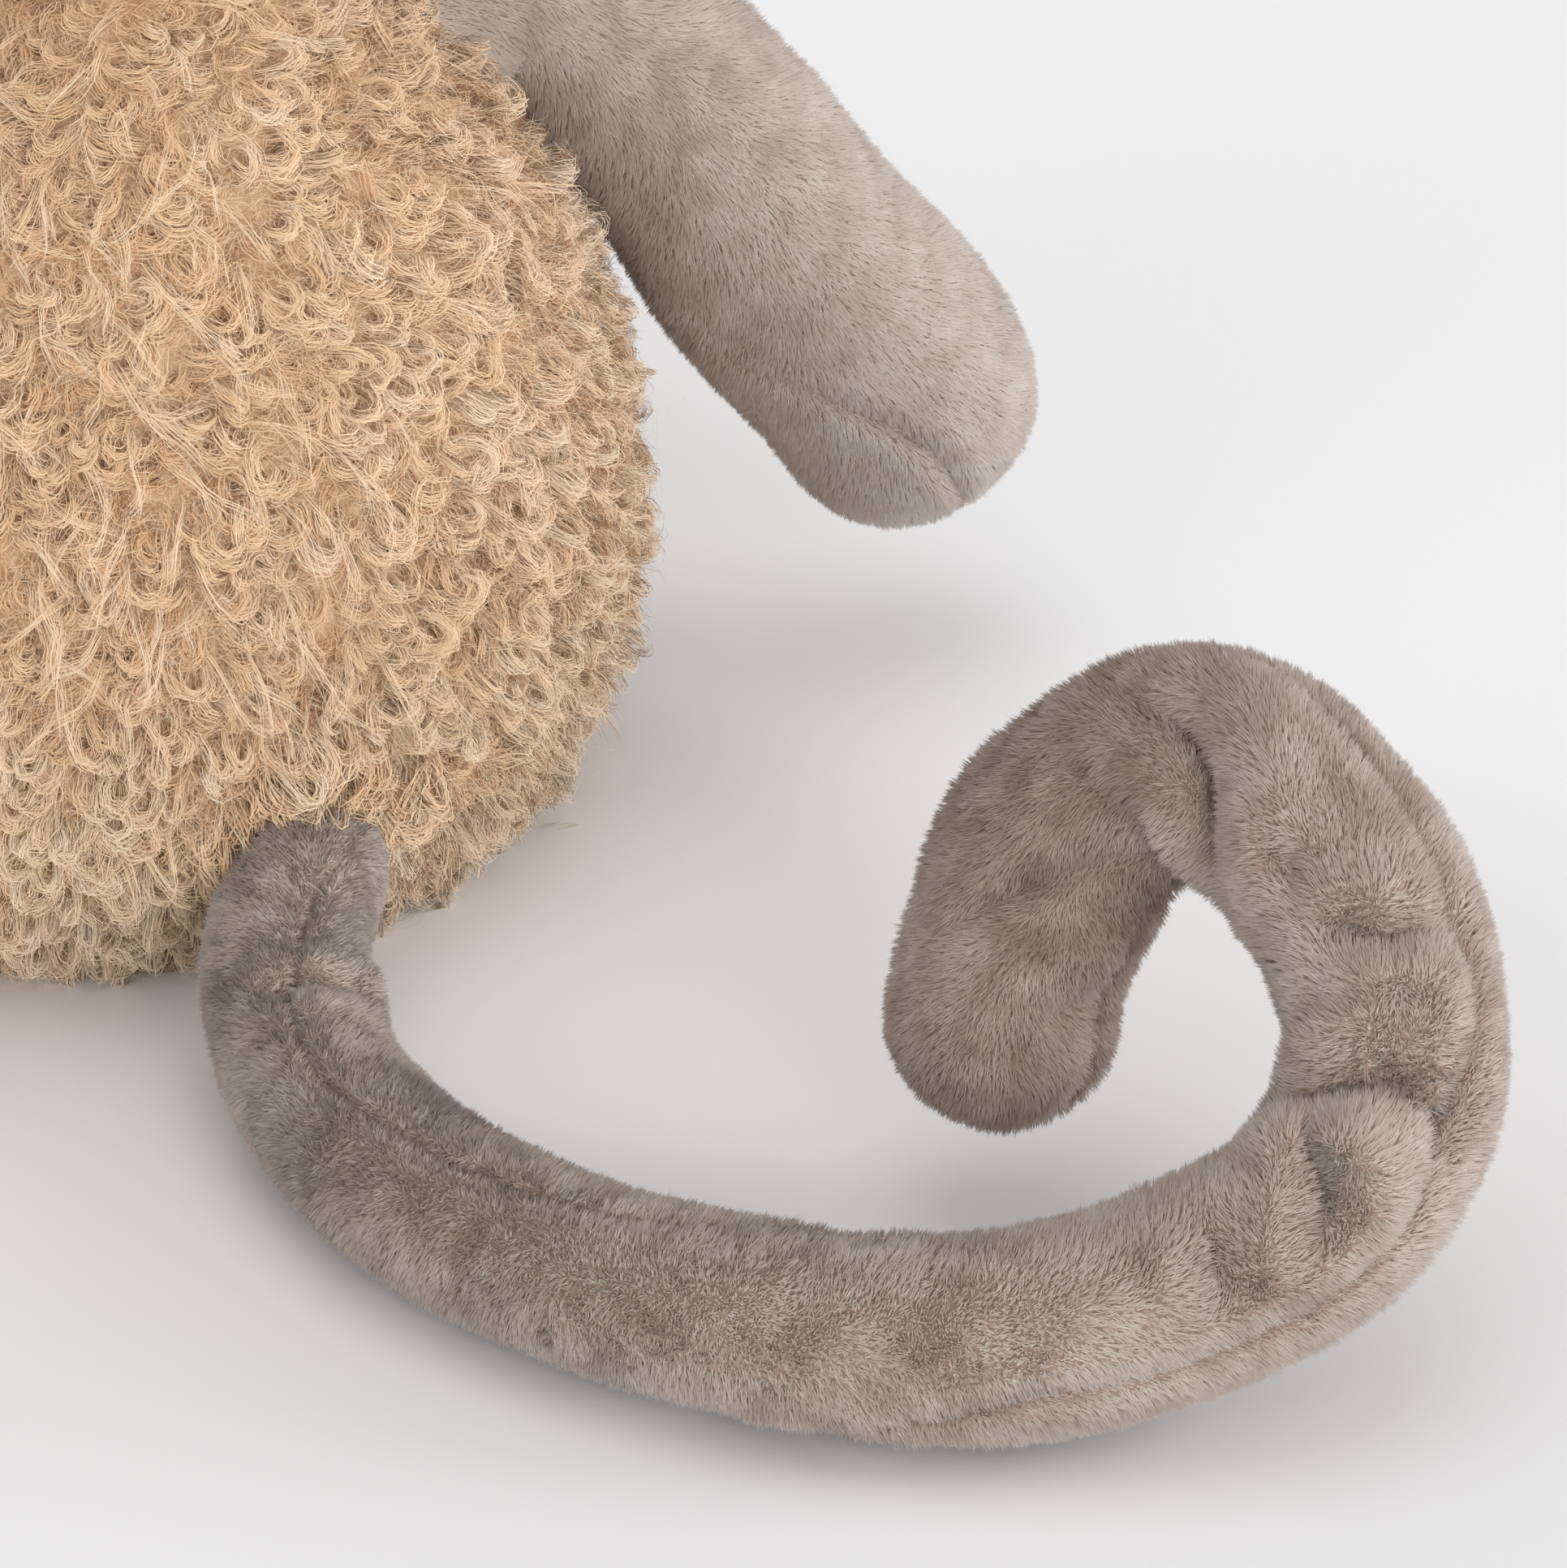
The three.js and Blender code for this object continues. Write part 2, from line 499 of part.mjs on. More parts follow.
addPair(legs, 'leg', '_top_panel', leg.upper, SHORT);
addPair(legs, 'leg', '_under_panel', leg.lower, SHORT);
addPair(legs, 'leg', '_stuffing', leg.fill, FILL);
group.add(legs);

// Tail: a round root in the hollow of the back, then one long tube that thickens towards the hook
const tailCurve = new THREE.CatmullRomCurve3(TAIL_ROUTE.map((step) => (
  new THREE.Vector3().fromArray(step).add(tailRoot))));
const tailStart = tailCurve.getTangentAt(0);
const tail = sewnLimb({
  curve: tailCurve,
  across: UP.clone().cross(tailStart).normalize()
    .applyAxisAngle(tailStart, THREE.MathUtils.degToRad(TAIL_SEAM_TURN_DEGREES)),
  root: [TAIL_ROOT_RADIUS, TAIL_ROOT_RADIUS],
  end: [TAIL_END_RADIUS, TAIL_END_RADIUS],
  swell: tailCurve.getLength(),
  heel: TAIL_ROOT_RADIUS,
  foldedHeel: false,
  endCap: TAIL_END_RADIUS,
  steps: 27,
}, (solid) => solid.subtract(clearOfBody));
const tailGroup = new THREE.Group();
addTo(tailGroup, 'tail_upper_panel', tail.upper, SHORT);
addTo(tailGroup, 'tail_lower_panel', tail.lower, SHORT);
addTo(tailGroup, 'tail_stuffing', tail.fill, FILL);
group.add(tailGroup);

export default group;
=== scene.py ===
# The looks of a stuffed monkey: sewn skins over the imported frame, with a curly or a short pile on them.
# Sizes are in millimetres up to the point where a mesh is made, and in metres after that.
import math

import bpy
import numpy as np
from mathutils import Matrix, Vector
from mathutils.kdtree import KDTree


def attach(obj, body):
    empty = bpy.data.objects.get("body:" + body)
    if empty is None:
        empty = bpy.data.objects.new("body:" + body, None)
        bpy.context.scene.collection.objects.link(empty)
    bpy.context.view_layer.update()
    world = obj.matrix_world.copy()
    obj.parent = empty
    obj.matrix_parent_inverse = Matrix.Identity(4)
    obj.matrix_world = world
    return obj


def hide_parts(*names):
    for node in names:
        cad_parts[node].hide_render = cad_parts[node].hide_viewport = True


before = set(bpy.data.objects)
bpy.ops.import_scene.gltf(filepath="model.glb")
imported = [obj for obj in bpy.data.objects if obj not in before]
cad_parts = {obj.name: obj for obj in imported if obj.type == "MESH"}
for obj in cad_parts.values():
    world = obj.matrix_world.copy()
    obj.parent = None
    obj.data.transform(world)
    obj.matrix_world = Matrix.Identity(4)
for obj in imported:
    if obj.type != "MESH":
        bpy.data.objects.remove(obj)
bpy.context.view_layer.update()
MM = 0.001
UP = np.array([0.0, 0.0, 1.0])
MIRROR = np.array([-1, 1, 1])
FLOOR_CLEARANCE = 0.2
PIECE_TRIANGLES = 190000
NOISE_CELLS = 32

# Sizes of the sewn forms
BODY_HEIGHT = 128
BODY_WIDEST_HEIGHT = 40
BODY_HALF_WIDTH = 68.5
BODY_HALF_DEPTH = 62.5
SEAT_HALF_WIDTH = 44
SEAT_HALF_DEPTH = 40
NECK_RADIUS = 28.5
SHOULDER_FULLNESS = 2
HEAD_CENTRE = np.array([0, -4, 170.3])
HEAD_HALF = np.array([54, 49, 46])
NECK_ANGLE = 0.43
FACE_CENTRE_Z = 167.3
FACE_HALF_WIDTH = 33
FACE_HALF_HEIGHT = 34
MUZZLE_CENTRE = np.array([0, -48, 156.3])
MUZZLE_HALF = np.array([23, 16, 17])
EAR_CENTRE = np.array([-69.885, -4, 173.3])
EAR_HALF = np.array([20, 6, 21])
SHOULDER = np.array([-41.978, 6, 109.117])
SHOULDER_NORMAL = np.array([-0.80834, 0, 0.58872])
ARM_ROUTE = [[-12, 2.5], [0, 0], [14, 3], [31, -11], [42, -25], [57, -47], [73, -67.5], [80.5, -88]]
ARM_ROOT = (14.8, 13.3)
ARM_END = (18.7, 17.2)
HIP = np.array([-32.28, -55.9, 18.5])
LEG_OUT = np.array([-0.5, -0.8660254, 0])
LEG_LENGTH = 100
FOOT_RISE = 28
LEG_ROOT = (15, 4)
LEG_END = (18.5, 16.5)
LEG_SWELL = 50
FOOT_CAP = 15
EYE_CENTRES = np.array([[-17, -49.72, 178.3], [17, -49.72, 178.3]])
TAIL_ROOT = np.array([0, 64.65, 19])
TAIL_RADII = (9.2, 12.6)
TAIL_SEAM_TURN = 30
TAIL_ROUTE = [
    [0, 0, 0], [9, 13, -4], [15, 32, -6.5], [17, 52, -7.2], [11, 82, -7.2], [-5, 109, -7], [-27, 130, -5.5],
    [-51, 138, -1], [-68, 142, 9], [-79, 137, 24], [-80, 120, 40], [-75, 100, 45], [-64, 89, 35],
    [-57, 85, 14], [-53, 86, -5],
]

# Rows and columns of each skin's grid
TAIL_GRID = (330, 100)
ARM_GRID = (150, 96)
LEG_GRID = (110, 90)
HEAD_GRID = (90, 130)
SMALL_GRID = (60, 90)
# How each skin swells: the pressure, the steps between the coarse cloth's rows and columns, and the
# furthest that a point may move
TAIL_SWELLING = (2000, 5, 5, 2.0)
ARM_SWELLING = (1000, 5, 4, 2.0)
LEG_SWELLING = (1000, 5, 5, 2.0)
BODY_SWELLING = (100, 2, 3, 2.5)
HEAD_SWELLING = (120, 3, 3, 2.5)
# Radii by which an angle round a limb becomes a distance over its cloth
TAIL_SEAM_REACH = 12
TAIL_FOLD_REACH = 12.5
ARM_REACH = 17
LEG_REACH = 17


# Numbers and vectors
def unit(v):
    return v / np.maximum(np.linalg.norm(v, axis=-1, keepdims=True), 1e-9)


def dot(a, b):
    return np.sum(a * b, axis=-1, keepdims=True)


def smooth(t):
    t = np.clip(t, 0, 1)
    return t * t * (3 - 2 * t)


def turns(count):
    """Angles evenly spaced round a circle."""
    return 2 * math.pi * np.arange(count) / count


def noise(points, size, seed):
    """Smooth noise from -1 to 1 with features about as wide as size."""
    lattice = np.random.default_rng(seed).random((NOISE_CELLS,) * 3) * 2 - 1
    q = points / size + 100
    base = np.floor(q).astype(int)
    f = smooth(q - base)
    total = 0
    for corner in np.ndindex(2, 2, 2):
        i, j, k = ((base + np.array(corner)) % NOISE_CELLS).T
        total = total + np.prod(np.where(corner, f, 1 - f), axis=1) * lattice[i, j, k]
    return total


# Sewn forms are grids of points: rows along the piece, columns round it
def route(points, steps=4000):
    """A smooth curve through points, as evenly spaced places along its length."""
    p = np.array(points, float)
    p = np.vstack([2 * p[0] - p[1], p, 2 * p[-1] - p[-2]])
    curve = []
    for i in range(1, len(p) - 2):
        knots = [0.0]
        for a, b in zip(p[i - 1:i + 2], p[i:i + 3]):
            knots.append(knots[-1] + np.linalg.norm(b - a) ** 0.5)
        t0, t1, t2, t3 = knots
        t = np.linspace(t1, t2, 200, endpoint=False)[:, None]
        a1 = (t1 - t) / (t1 - t0) * p[i - 1] + (t - t0) / (t1 - t0) * p[i]
        a2 = (t2 - t) / (t2 - t1) * p[i] + (t - t1) / (t2 - t1) * p[i + 1]
        a3 = (t3 - t) / (t3 - t2) * p[i + 1] + (t - t2) / (t3 - t2) * p[i + 2]
        b1 = (t2 - t) / (t2 - t0) * a1 + (t - t0) / (t2 - t0) * a2
        b2 = (t3 - t) / (t3 - t1) * a2 + (t - t1) / (t3 - t1) * a3
        curve.append((t2 - t) / (t2 - t1) * b1 + (t - t1) / (t2 - t1) * b2)
    curve = np.vstack([*curve, p[-2:-1]])
    along = np.concatenate([[0], np.cumsum(np.linalg.norm(np.diff(curve, axis=0), axis=1))])
    places = np.linspace(0, along[-1], steps)
    return np.stack([np.interp(places, along, curve[:, k]) for k in range(3)], axis=1), along[-1]


def limb(points, across, root, end, swell, heel, flat_root, cap, rows, columns):
    """A limb's skin that swells from its root to its rounded end. Returns the grid, and the place of each
    row along the limb."""
    curve, length = route(points)
    swell = swell or length
    even = np.linspace(0, 1, rows)
    slow = 0.5 - 0.5 * np.cos(math.pi * even) if heel else np.sin(math.pi / 2 * even)
    s = -heel + (length + heel) * (0.25 * slow + 0.75 * even)
    clamped = np.clip(s, 0, length)
    grid = np.zeros((rows, columns, 3))
    side = np.array(across, float)
    angle = turns(columns)
    step = length / (len(curve) - 1)
    for r in range(rows):
        k = min(int(clamped[r] / step), len(curve) - 2)
        tangent = unit(curve[min(k + 8, len(curve) - 1)] - curve[max(k - 8, 0)])
        t = clamped[r] / step - k
        centre = curve[k] * (1 - t) + curve[k + 1] * t + tangent * (s[r] - clamped[r])
        side = unit(side - tangent * np.dot(side, tangent))
        up = np.cross(tangent, side)
        grown = smooth(s[r] / swell)
        full = [a + (b - a) * grown for a, b in zip(root, end)]
        tip = math.sqrt(max(0, 1 - max(0, 1 - (length - s[r]) / cap) ** 2))
        back = math.sqrt(max(0, 1 - max(0, -s[r] / heel) ** 2)) if heel else 1
        width = full[0] * tip * (1 if flat_root else back)
        height = full[1] * tip * back
        grid[r] = centre + np.outer(np.cos(angle), side) * width + np.outer(np.sin(angle), up) * height
    return grid, s


def ball(centre, half, rows, columns, low=0.0):
    """An oval form with its poles up and down. low is the angle from the lower pole where it starts."""
    polar = math.pi - np.linspace(low, math.pi, rows)[:, None]
    turn = turns(columns)[None, :]
    x = np.sin(polar) * np.cos(turn) * half[0]
    y = np.sin(polar) * np.sin(turn) * half[1]
    z = np.cos(polar) * half[2] + 0 * turn
    return np.stack([x, y, z], axis=2) + centre


def grid_normals(grid):
    along = np.gradient(grid, axis=0)
    around = (np.roll(grid, -1, axis=1) - np.roll(grid, 1, axis=1)) / 2
    n = np.cross(around, along)
    out = grid - grid.mean(axis=1, keepdims=True)
    n = unit(n) * np.where(np.sum(n * out) < 0, -1, 1)
    n[0] = unit(n[1].mean(axis=0))
    n[-1] = unit(n[-2].mean(axis=0))
    return n


def push(grid, amount):
    """Moves the points of a grid along its normals."""
    return grid + grid_normals(grid) * amount[..., None]


def placed(name, data):
    """A new object in the scene."""
    obj = bpy.data.objects.new(name, data)
    bpy.context.collection.objects.link(obj)
    return obj


def closed_object(name, grid):
    """A closed mesh on a grid, with a point at the middle of its first and last rows."""
    rows, columns = grid.shape[:2]
    points = np.vstack([grid.reshape(-1, 3), grid[0].mean(axis=0), grid[-1].mean(axis=0)])
    faces = []
    for r in range(rows - 1):
        for c in range(columns):
            d = (c + 1) % columns
            faces.append((r * columns + c, r * columns + d, (r + 1) * columns + d, (r + 1) * columns + c))
    for c in range(columns):
        d = (c + 1) % columns
        faces.append((rows * columns, d, c))
        faces.append((rows * columns + 1, (rows - 1) * columns + c, (rows - 1) * columns + d))
    mesh = bpy.data.meshes.new(name)
    mesh.from_pydata((points * MM).tolist(), [], faces)
    middle = rows // 2
    first = grid[middle, 0] - grid[middle].mean(axis=0)
    made = np.cross(grid[middle, 1] - grid[middle, 0], grid[middle + 1, 0] - grid[middle, 0])
    if np.dot(first, made) < 0:
        mesh.flip_normals()
    mesh.polygons.foreach_set("use_smooth", [True] * len(mesh.polygons))
    return placed(name, mesh)


CLOTH_STIFFNESS = 1
CLOTH_SHEAR = 0.3
CLOTH_BENDING = 0.03
CLOTH_FRAMES = 20
NARROWEST_CLOTH = 4


def swollen(grid, held, pressure, row_step, column_step, cap):
    """Lets the cloth of a grid swell over its stuffing in a short cloth simulation. held, from 0 to 1, says
    where seams hold the cloth, and cap is the furthest that a point may move. A narrow piece needs more
    pressure than a wide one to swell as far. Its pointed ends are left out, as the solver stalls on them."""
    rows, columns = grid.shape[:2]
    wide = np.linalg.norm(grid - grid.mean(axis=1, keepdims=True), axis=2).max(axis=1) > NARROWEST_CLOTH
    first, last = np.flatnonzero(wide)[[0, -1]]
    pick = np.unique(np.append(np.arange(first, last, row_step), last))
    across = np.arange(0, columns, column_step)
    coarse = grid[pick][:, across]
    obj = closed_object("swelling", coarse)
    group = obj.vertex_groups.new(name="held")
    for i, weight in enumerate(np.append(held[pick][:, across].ravel(), [1, 1])):
        group.add([i], float(weight), "REPLACE")
    cloth = obj.modifiers.new("swelling", "CLOTH")
    cloth.settings.vertex_group_mass = "held"
    cloth.settings.use_pressure = True
    cloth.settings.uniform_pressure_force = pressure
    cloth.settings.tension_stiffness = cloth.settings.compression_stiffness = CLOTH_STIFFNESS
    cloth.settings.shear_stiffness = CLOTH_SHEAR
    cloth.settings.bending_stiffness = CLOTH_BENDING
    cloth.settings.effector_weights.gravity = 0
    cloth.settings.quality = 6
    cloth.point_cache.frame_start, cloth.point_cache.frame_end = 1, CLOTH_FRAMES
    for step in range(1, CLOTH_FRAMES + 1):
        bpy.context.scene.frame_set(step)
    result = obj.evaluated_get(bpy.context.evaluated_depsgraph_get()).data
    places = np.empty(len(result.vertices) * 3, np.float32)
    result.vertices.foreach_get("co", places)
    moved = places.reshape(-1, 3)[:-2].reshape(coarse.shape) / MM - coarse
    bpy.data.objects.remove(obj)
    bpy.context.scene.frame_set(1)
    length = np.linalg.norm(moved, axis=2, keepdims=True)
    moved = moved * np.minimum(1, cap / np.maximum(length, 1e-9))
    low = np.searchsorted(pick, np.arange(rows), side="right").clip(1, len(pick) - 1)
    t = np.clip((np.arange(rows) - pick[low - 1]) / (pick[low] - pick[low - 1]), 0, 1)[:, None, None]
    moved = moved[low - 1] * (1 - t) + moved[low] * t
    column, u = np.divmod(np.arange(columns), column_step)
    u = (u / column_step)[None, :, None]
    column = column % len(across)
    moved = moved[:, column] * (1 - u) + moved[:, (column + 1) % len(across)] * u
    for _ in range(2 * column_step):
        moved = (moved * 2 + np.roll(moved, 1, axis=1) + np.roll(moved, -1, axis=1)) / 4
        moved[1:-1] = (moved[1:-1] * 2 + moved[:-2] + moved[2:]) / 4
    return grid + moved


def skin(name, grid, body, nodes, material):
    """A closed sewn skin on a grid, which stands for the solids named in nodes."""
    obj = closed_object(name, grid)
    obj.data.materials.append(material)
    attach(obj, body)
    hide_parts(*nodes)


# Pile: every strand is a narrow strip of mesh. Its tone, from dark to light, and the way along it are kept
# in the two directions of its UV map, and its colour follows from those.
def spread(grid, density, seed, keep=None):
    """Even random places on a grid: points, normals, directions along the rows, and grid coordinates."""
    rng = np.random.default_rng(seed)
    nxt = np.roll(grid, -1, axis=1)
    a, b, c, d = grid[:-1], nxt[:-1], nxt[1:], grid[1:]
    area = np.linalg.norm(np.cross(c - a, d - b), axis=2) / 2
    if keep is not None:
        area = area * keep
    total = area.sum()
    count = int(total * density)
    ladder = np.cumsum(area.ravel()) / total
    pick = np.searchsorted(ladder, (np.arange(count) + rng.random(count)) / count)
    pick = np.minimum(pick, area.size - 1)
    r, q = np.divmod(pick, grid.shape[1])
    u, v = rng.random((2, count))
    normals = grid_normals(grid)
    after = (q + 1) % grid.shape[1]

    def between(values):
        low = values[r, q] * (1 - v)[:, None] + values[r, after] * v[:, None]
        high = values[r + 1, q] * (1 - v)[:, None] + values[r + 1, after] * v[:, None]
        return low * (1 - u)[:, None] + high * u[:, None]

    p = between(grid)
    n = unit(between(normals))
    along = grid[r + 1, q] - grid[r, q]
    along = unit(along - n * dot(along, n))
    return p, n, along, np.stack([r + u, q + v], axis=1)


def downhill(n):
    """The way down over the cloth, from its normals, with a small shift so that it always has a length."""
    return unit(-UP + n * n[:, 2:3] + 0.02)


def turned(way, n, turn):
    """Directions over the cloth, turned about its normals."""
    return way * np.cos(turn)[:, None] + np.cross(n, way) * np.sin(turn)[:, None]


def pile_mesh(name, body, material, points, shades, corners, sides, across, way, tones):
    """Meshes of many like strands: points (strand, point, xyz) and one strand's faces, split into pieces."""
    points[..., 2] = np.maximum(points[..., 2], FLOOR_CLEARANCE)
    count, per = points.shape[:2]
    starts = np.concatenate([[0], np.cumsum(sides)[:-1]])
    most = PIECE_TRIANGLES // int(np.sum(np.array(sides) - 2))
    for part, first in enumerate(range(0, count, most)):
        some = slice(first, min(first + most, count))
        n = some.stop - some.start
        mesh = bpy.data.meshes.new(f"{name}_{part + 1}")
        mesh.vertices.add(n * per)
        mesh.vertices.foreach_set("co", (points[some] * MM).ravel())
        mesh.loops.add(n * len(corners))
        index = corners[None, :] + (np.arange(n) * per)[:, None]
        mesh.loops.foreach_set("vertex_index", index.ravel().astype(np.int32))
        mesh.polygons.add(n * len(sides))
        begin = starts[None, :] + (np.arange(n) * len(corners))[:, None]
        mesh.polygons.foreach_set("loop_start", begin.ravel().astype(np.int32))
        mesh.polygons.foreach_set("use_smooth", np.ones(n * len(sides), bool))
        uv = mesh.uv_layers.new(name="OFBake")
        u = np.clip(tones[some], 0.01, 0.99)[:, None] + across[None, :]
        v = np.broadcast_to(way[None, :], u.shape)
        uv.data.foreach_set("uv", np.stack([u, v], axis=2).ravel().astype(np.float32))
        mesh.update()
        mesh.normals_split_custom_set_from_vertices(shades[some].reshape(-1, 3))
        obj = placed(f"{name}_{part + 1}", mesh)
        mesh.materials.append(material)
        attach(obj, body)


# Half the width of a strand in its UV map, and where its root and tip are
STRAND_U = 0.004
ROOT_V, TIP_V = 0.02, 0.98


def ribbons(name, body, material, lines, out, widths, tones, soft, normals):
    """Strips along lines (strand, place, xyz), their faces turned towards out, narrowing to a point.
    soft is the share of the cloth's own normal in their shading."""
    count, k = lines.shape[:2]
    tangent = unit(np.gradient(lines, axis=1))
    side = unit(np.cross(tangent, out))
    shade = unit(np.cross(side, tangent) * (1 - soft) + normals[:, None, :] * soft)
    per = 2 * k - 1
    points = np.empty((count, per, 3))
    points[:, 0:per - 1:2] = (lines - side * widths[..., None])[:, :-1]
    points[:, 1:per - 1:2] = (lines + side * widths[..., None])[:, :-1]
    points[:, -1] = lines[:, -1]
    shades = np.concatenate([np.repeat(shade[:, :-1], 2, axis=1), shade[:, -1:]], axis=1)
    corners = [c for i in range(k - 2) for c in (2 * i, 2 * i + 1, 2 * i + 3, 2 * i + 2)]
    corners = np.array([*corners, 2 * k - 4, 2 * k - 3, 2 * k - 2])
    across = np.array([-1, 1] * (k - 1) + [0])[corners] * STRAND_U
    way = np.append(np.repeat(np.arange(k - 1), 2), k - 1)[corners]
    way = way / (k - 1) * (TIP_V - ROOT_V) + ROOT_V
    pile_mesh(name, body, material, points, shades, corners, [4] * (k - 2) + [3], across, way, tones)


# Directions of the three sides of a straight strand
CONE_SIDES = (0.5, 0.5 + 2.0944, 0.5 + 4.1888)


def cones(name, body, material, root, tip, width, tones, soft, normals):
    """Straight strands with three sides, from a root to a pointed tip."""
    axis = unit(tip - root)
    first = unit(np.cross(axis, normals + 0.01))
    second = np.cross(axis, first)
    radial = [first * math.cos(a) + second * math.sin(a) for a in CONE_SIDES]
    points = np.stack([root + r * width[:, None] for r in radial] + [tip], axis=1)
    shades = np.stack([unit(r * (1 - soft) + normals * soft) for r in radial] + [normals], axis=1)
    corners = np.array([0, 1, 3, 1, 2, 3, 2, 0, 3])
    across = np.array([-1, 1, 0, 1, 0, 0, 0, -1, 0]) * STRAND_U
    way = np.array([ROOT_V, ROOT_V, TIP_V] * 3)
    pile_mesh(name, body, material, points, shades, corners, [3] * 3, across, way, tones)


def at_strands(values, at):
    """The values of a grid at the places where strands grow."""
    row, column = at.T.astype(int)
    return values[row, column % values.shape[1]]


def tuft_of(roots, share, seed):
    """Takes a share of the strands as the middles of tufts, and gives each strand's nearest middle."""
    rng = np.random.default_rng(seed)
    chosen = rng.choice(len(roots), max(1, int(len(roots) * share)), replace=False)
    tree = KDTree(len(chosen))
    for i, k in enumerate(chosen):
        tree.insert(roots[k], i)
    tree.balance()
    return chosen[[tree.find(p)[1] for p in roots]]


def short_pile(name, body, grid, material, density, length, width, seed, lean=0.5, tone=None, keep=None,
               trim_and_shade=None):
    """Short dense pile that lies along the piece and gathers into small tufts. Where the cloth is drawn in,
    such as at a seam, the pile is shortened, and darkened there with painted shade."""
    rng = np.random.default_rng(seed)
    p, n, along, at = spread(grid, density, seed, keep)
    count = len(p)
    turn = 0.8 * noise(p, 13, seed + 1) + 0.6 * noise(p, 3, seed + 2) + 0.35 * rng.standard_normal(count)
    comb = turned(along, n, turn)
    tilt = lean * (1 + 0.5 * noise(p, 6, seed + 3) + 0.35 * rng.standard_normal(count))
    tilt = np.clip(tilt, 0.0, 1.25)[:, None]
    size = length * (1 + 0.12 * noise(p, 2, seed + 4) + 0.15 * rng.standard_normal(count))
    tones = 0.5 + 0.12 * noise(p, 14, seed + 6) + 0.2 * noise(p, 3, seed + 7)
    tones = tones + 0.1 * rng.standard_normal(count)
    if tone is not None:
        tones = tones + tone(at)
    if trim_and_shade is not None:
        drawn = trim_and_shade(at)
        size = size * (1 - 0.4 * drawn)
        # Painted shade in the drawn-in groove
        tones = tones - 0.15 * drawn
    tip = p + (n * np.cos(tilt) + comb * np.sin(tilt)) * size[:, None]
    tip = tip + (tip[tuft_of(p, 0.1, seed + 5)] - tip) * 0.4
    cones(name, body, material, p - n * 0.3, tip, width * (1 + 0.3 * rng.random(count)), tones,
          0.8, n)


# Tufts of curly locks to a square millimetre
TUFT_DENSITY = 0.025


def curls(name, body, grid, material, density, members, seed, keep=None, size=1.0, points=7, width=0.05,
          tone=None, lift=1.0):
    """Curly pile: locks of fine strands that leave the cloth, hang down in a bow and turn up again. Some run
    back into the cloth, and some end in a loose curled tip."""
    rng = np.random.default_rng(seed)
    p, n, _, _ = spread(grid, density, seed, keep)
    count = len(p)
    turn = 0.7 * noise(p, 14, seed + 1) + 0.5 * rng.standard_normal(count)
    c = turned(downhill(n), n, turn)
    b = np.cross(n, c) * rng.choice([-1, 1], count)[:, None]
    slope = 0.45 * rng.standard_normal(count)
    e = b * np.cos(slope)[:, None] + n * np.sin(slope)[:, None]
    radius = size * rng.uniform(1.1, 2.3, count) * (1 + 0.2 * noise(p, 8, seed + 2))
    half = rng.uniform(1.2, 2.4, count)
    skew = 0.5 * rng.standard_normal(count)
    high = lift * size * rng.uniform(1.2, 4.0, count) * (1 + 0.25 * noise(p, 5, seed + 4))
    loose = np.where(rng.random(count) < 0.5, rng.uniform(0.4, 1.0, count), 0)
    # Painted shade: the lower a lock stands, the darker its colour
    tones = 0.28 + 0.06 * high / size + 0.1 * noise(p, 18, seed + 3) + 0.06 * rng.standard_normal(count)
    middle = p[tuft_of(p, TUFT_DENSITY / max(density, 0.1), seed + 5)] - p
    edge = smooth((np.linalg.norm(middle, axis=1) - 2) / 4)
    high = high * (1.2 - 0.55 * edge)
    # Painted shade: locks near a tuft's edge stand lower and are painted darker, where the tufts part
    tones = tones + 0.1 - 0.3 * edge
    if tone is not None:
        tones = tones + tone(p)
    t = np.linspace(-1, 1, points)
    bow = np.cos(t * math.pi / 2) ** 0.6
    all_lines, all_tones = [], []
    for k in range(members):
        out = k / max(1, members - 1) - 0.5
        r = radius * (1 + 0.5 * out + 0.1 * rng.standard_normal(count))
        r = r[:, None] * (1 - 0.35 * (loose > 0)[:, None] * (t + 1) / 2)
        phase = skew + 0.22 * rng.standard_normal(count)
        angle = phase[:, None] + (half * (1 + 0.15 * rng.standard_normal(count)))[:, None] * t
        rise = high * (1 - 0.12 * out) + 0.35 * size * rng.standard_normal(count)
        held = np.where(t > 0, loose[:, None] + (1 - loose[:, None]) * bow, bow)
        shift = 0.22 * size * rng.standard_normal((count, 3))
        line = ((p + shift)[:, None, :] + c[:, None, :] * (np.cos(angle) * r)[..., None]
                + e[:, None, :] * (np.sin(angle) * r)[..., None]
                + n[:, None, :] * (rise[:, None] * held - 0.3)[..., None]
                + 0.3 * middle[:, None, :] * held[..., None])
        all_lines.append(line)
        all_tones.append(tones + 0.05 * rng.standard_normal(count))
    lines = np.vstack(all_lines)
    normals = np.vstack([n] * members)
    facing = unit(normals[:, None, :] + 0.35 * rng.standard_normal((len(lines), 1, 3)))
    profile = np.array([0.7] + [1.0] * (points - 3) + [0.8, 0])
    widths = width * size * profile * (1 + 0.5 * rng.random((len(lines), 1)))
    ribbons(name, body, material, lines, np.broadcast_to(facing, lines.shape), widths,
            np.concatenate(all_tones), 0.9, normals)


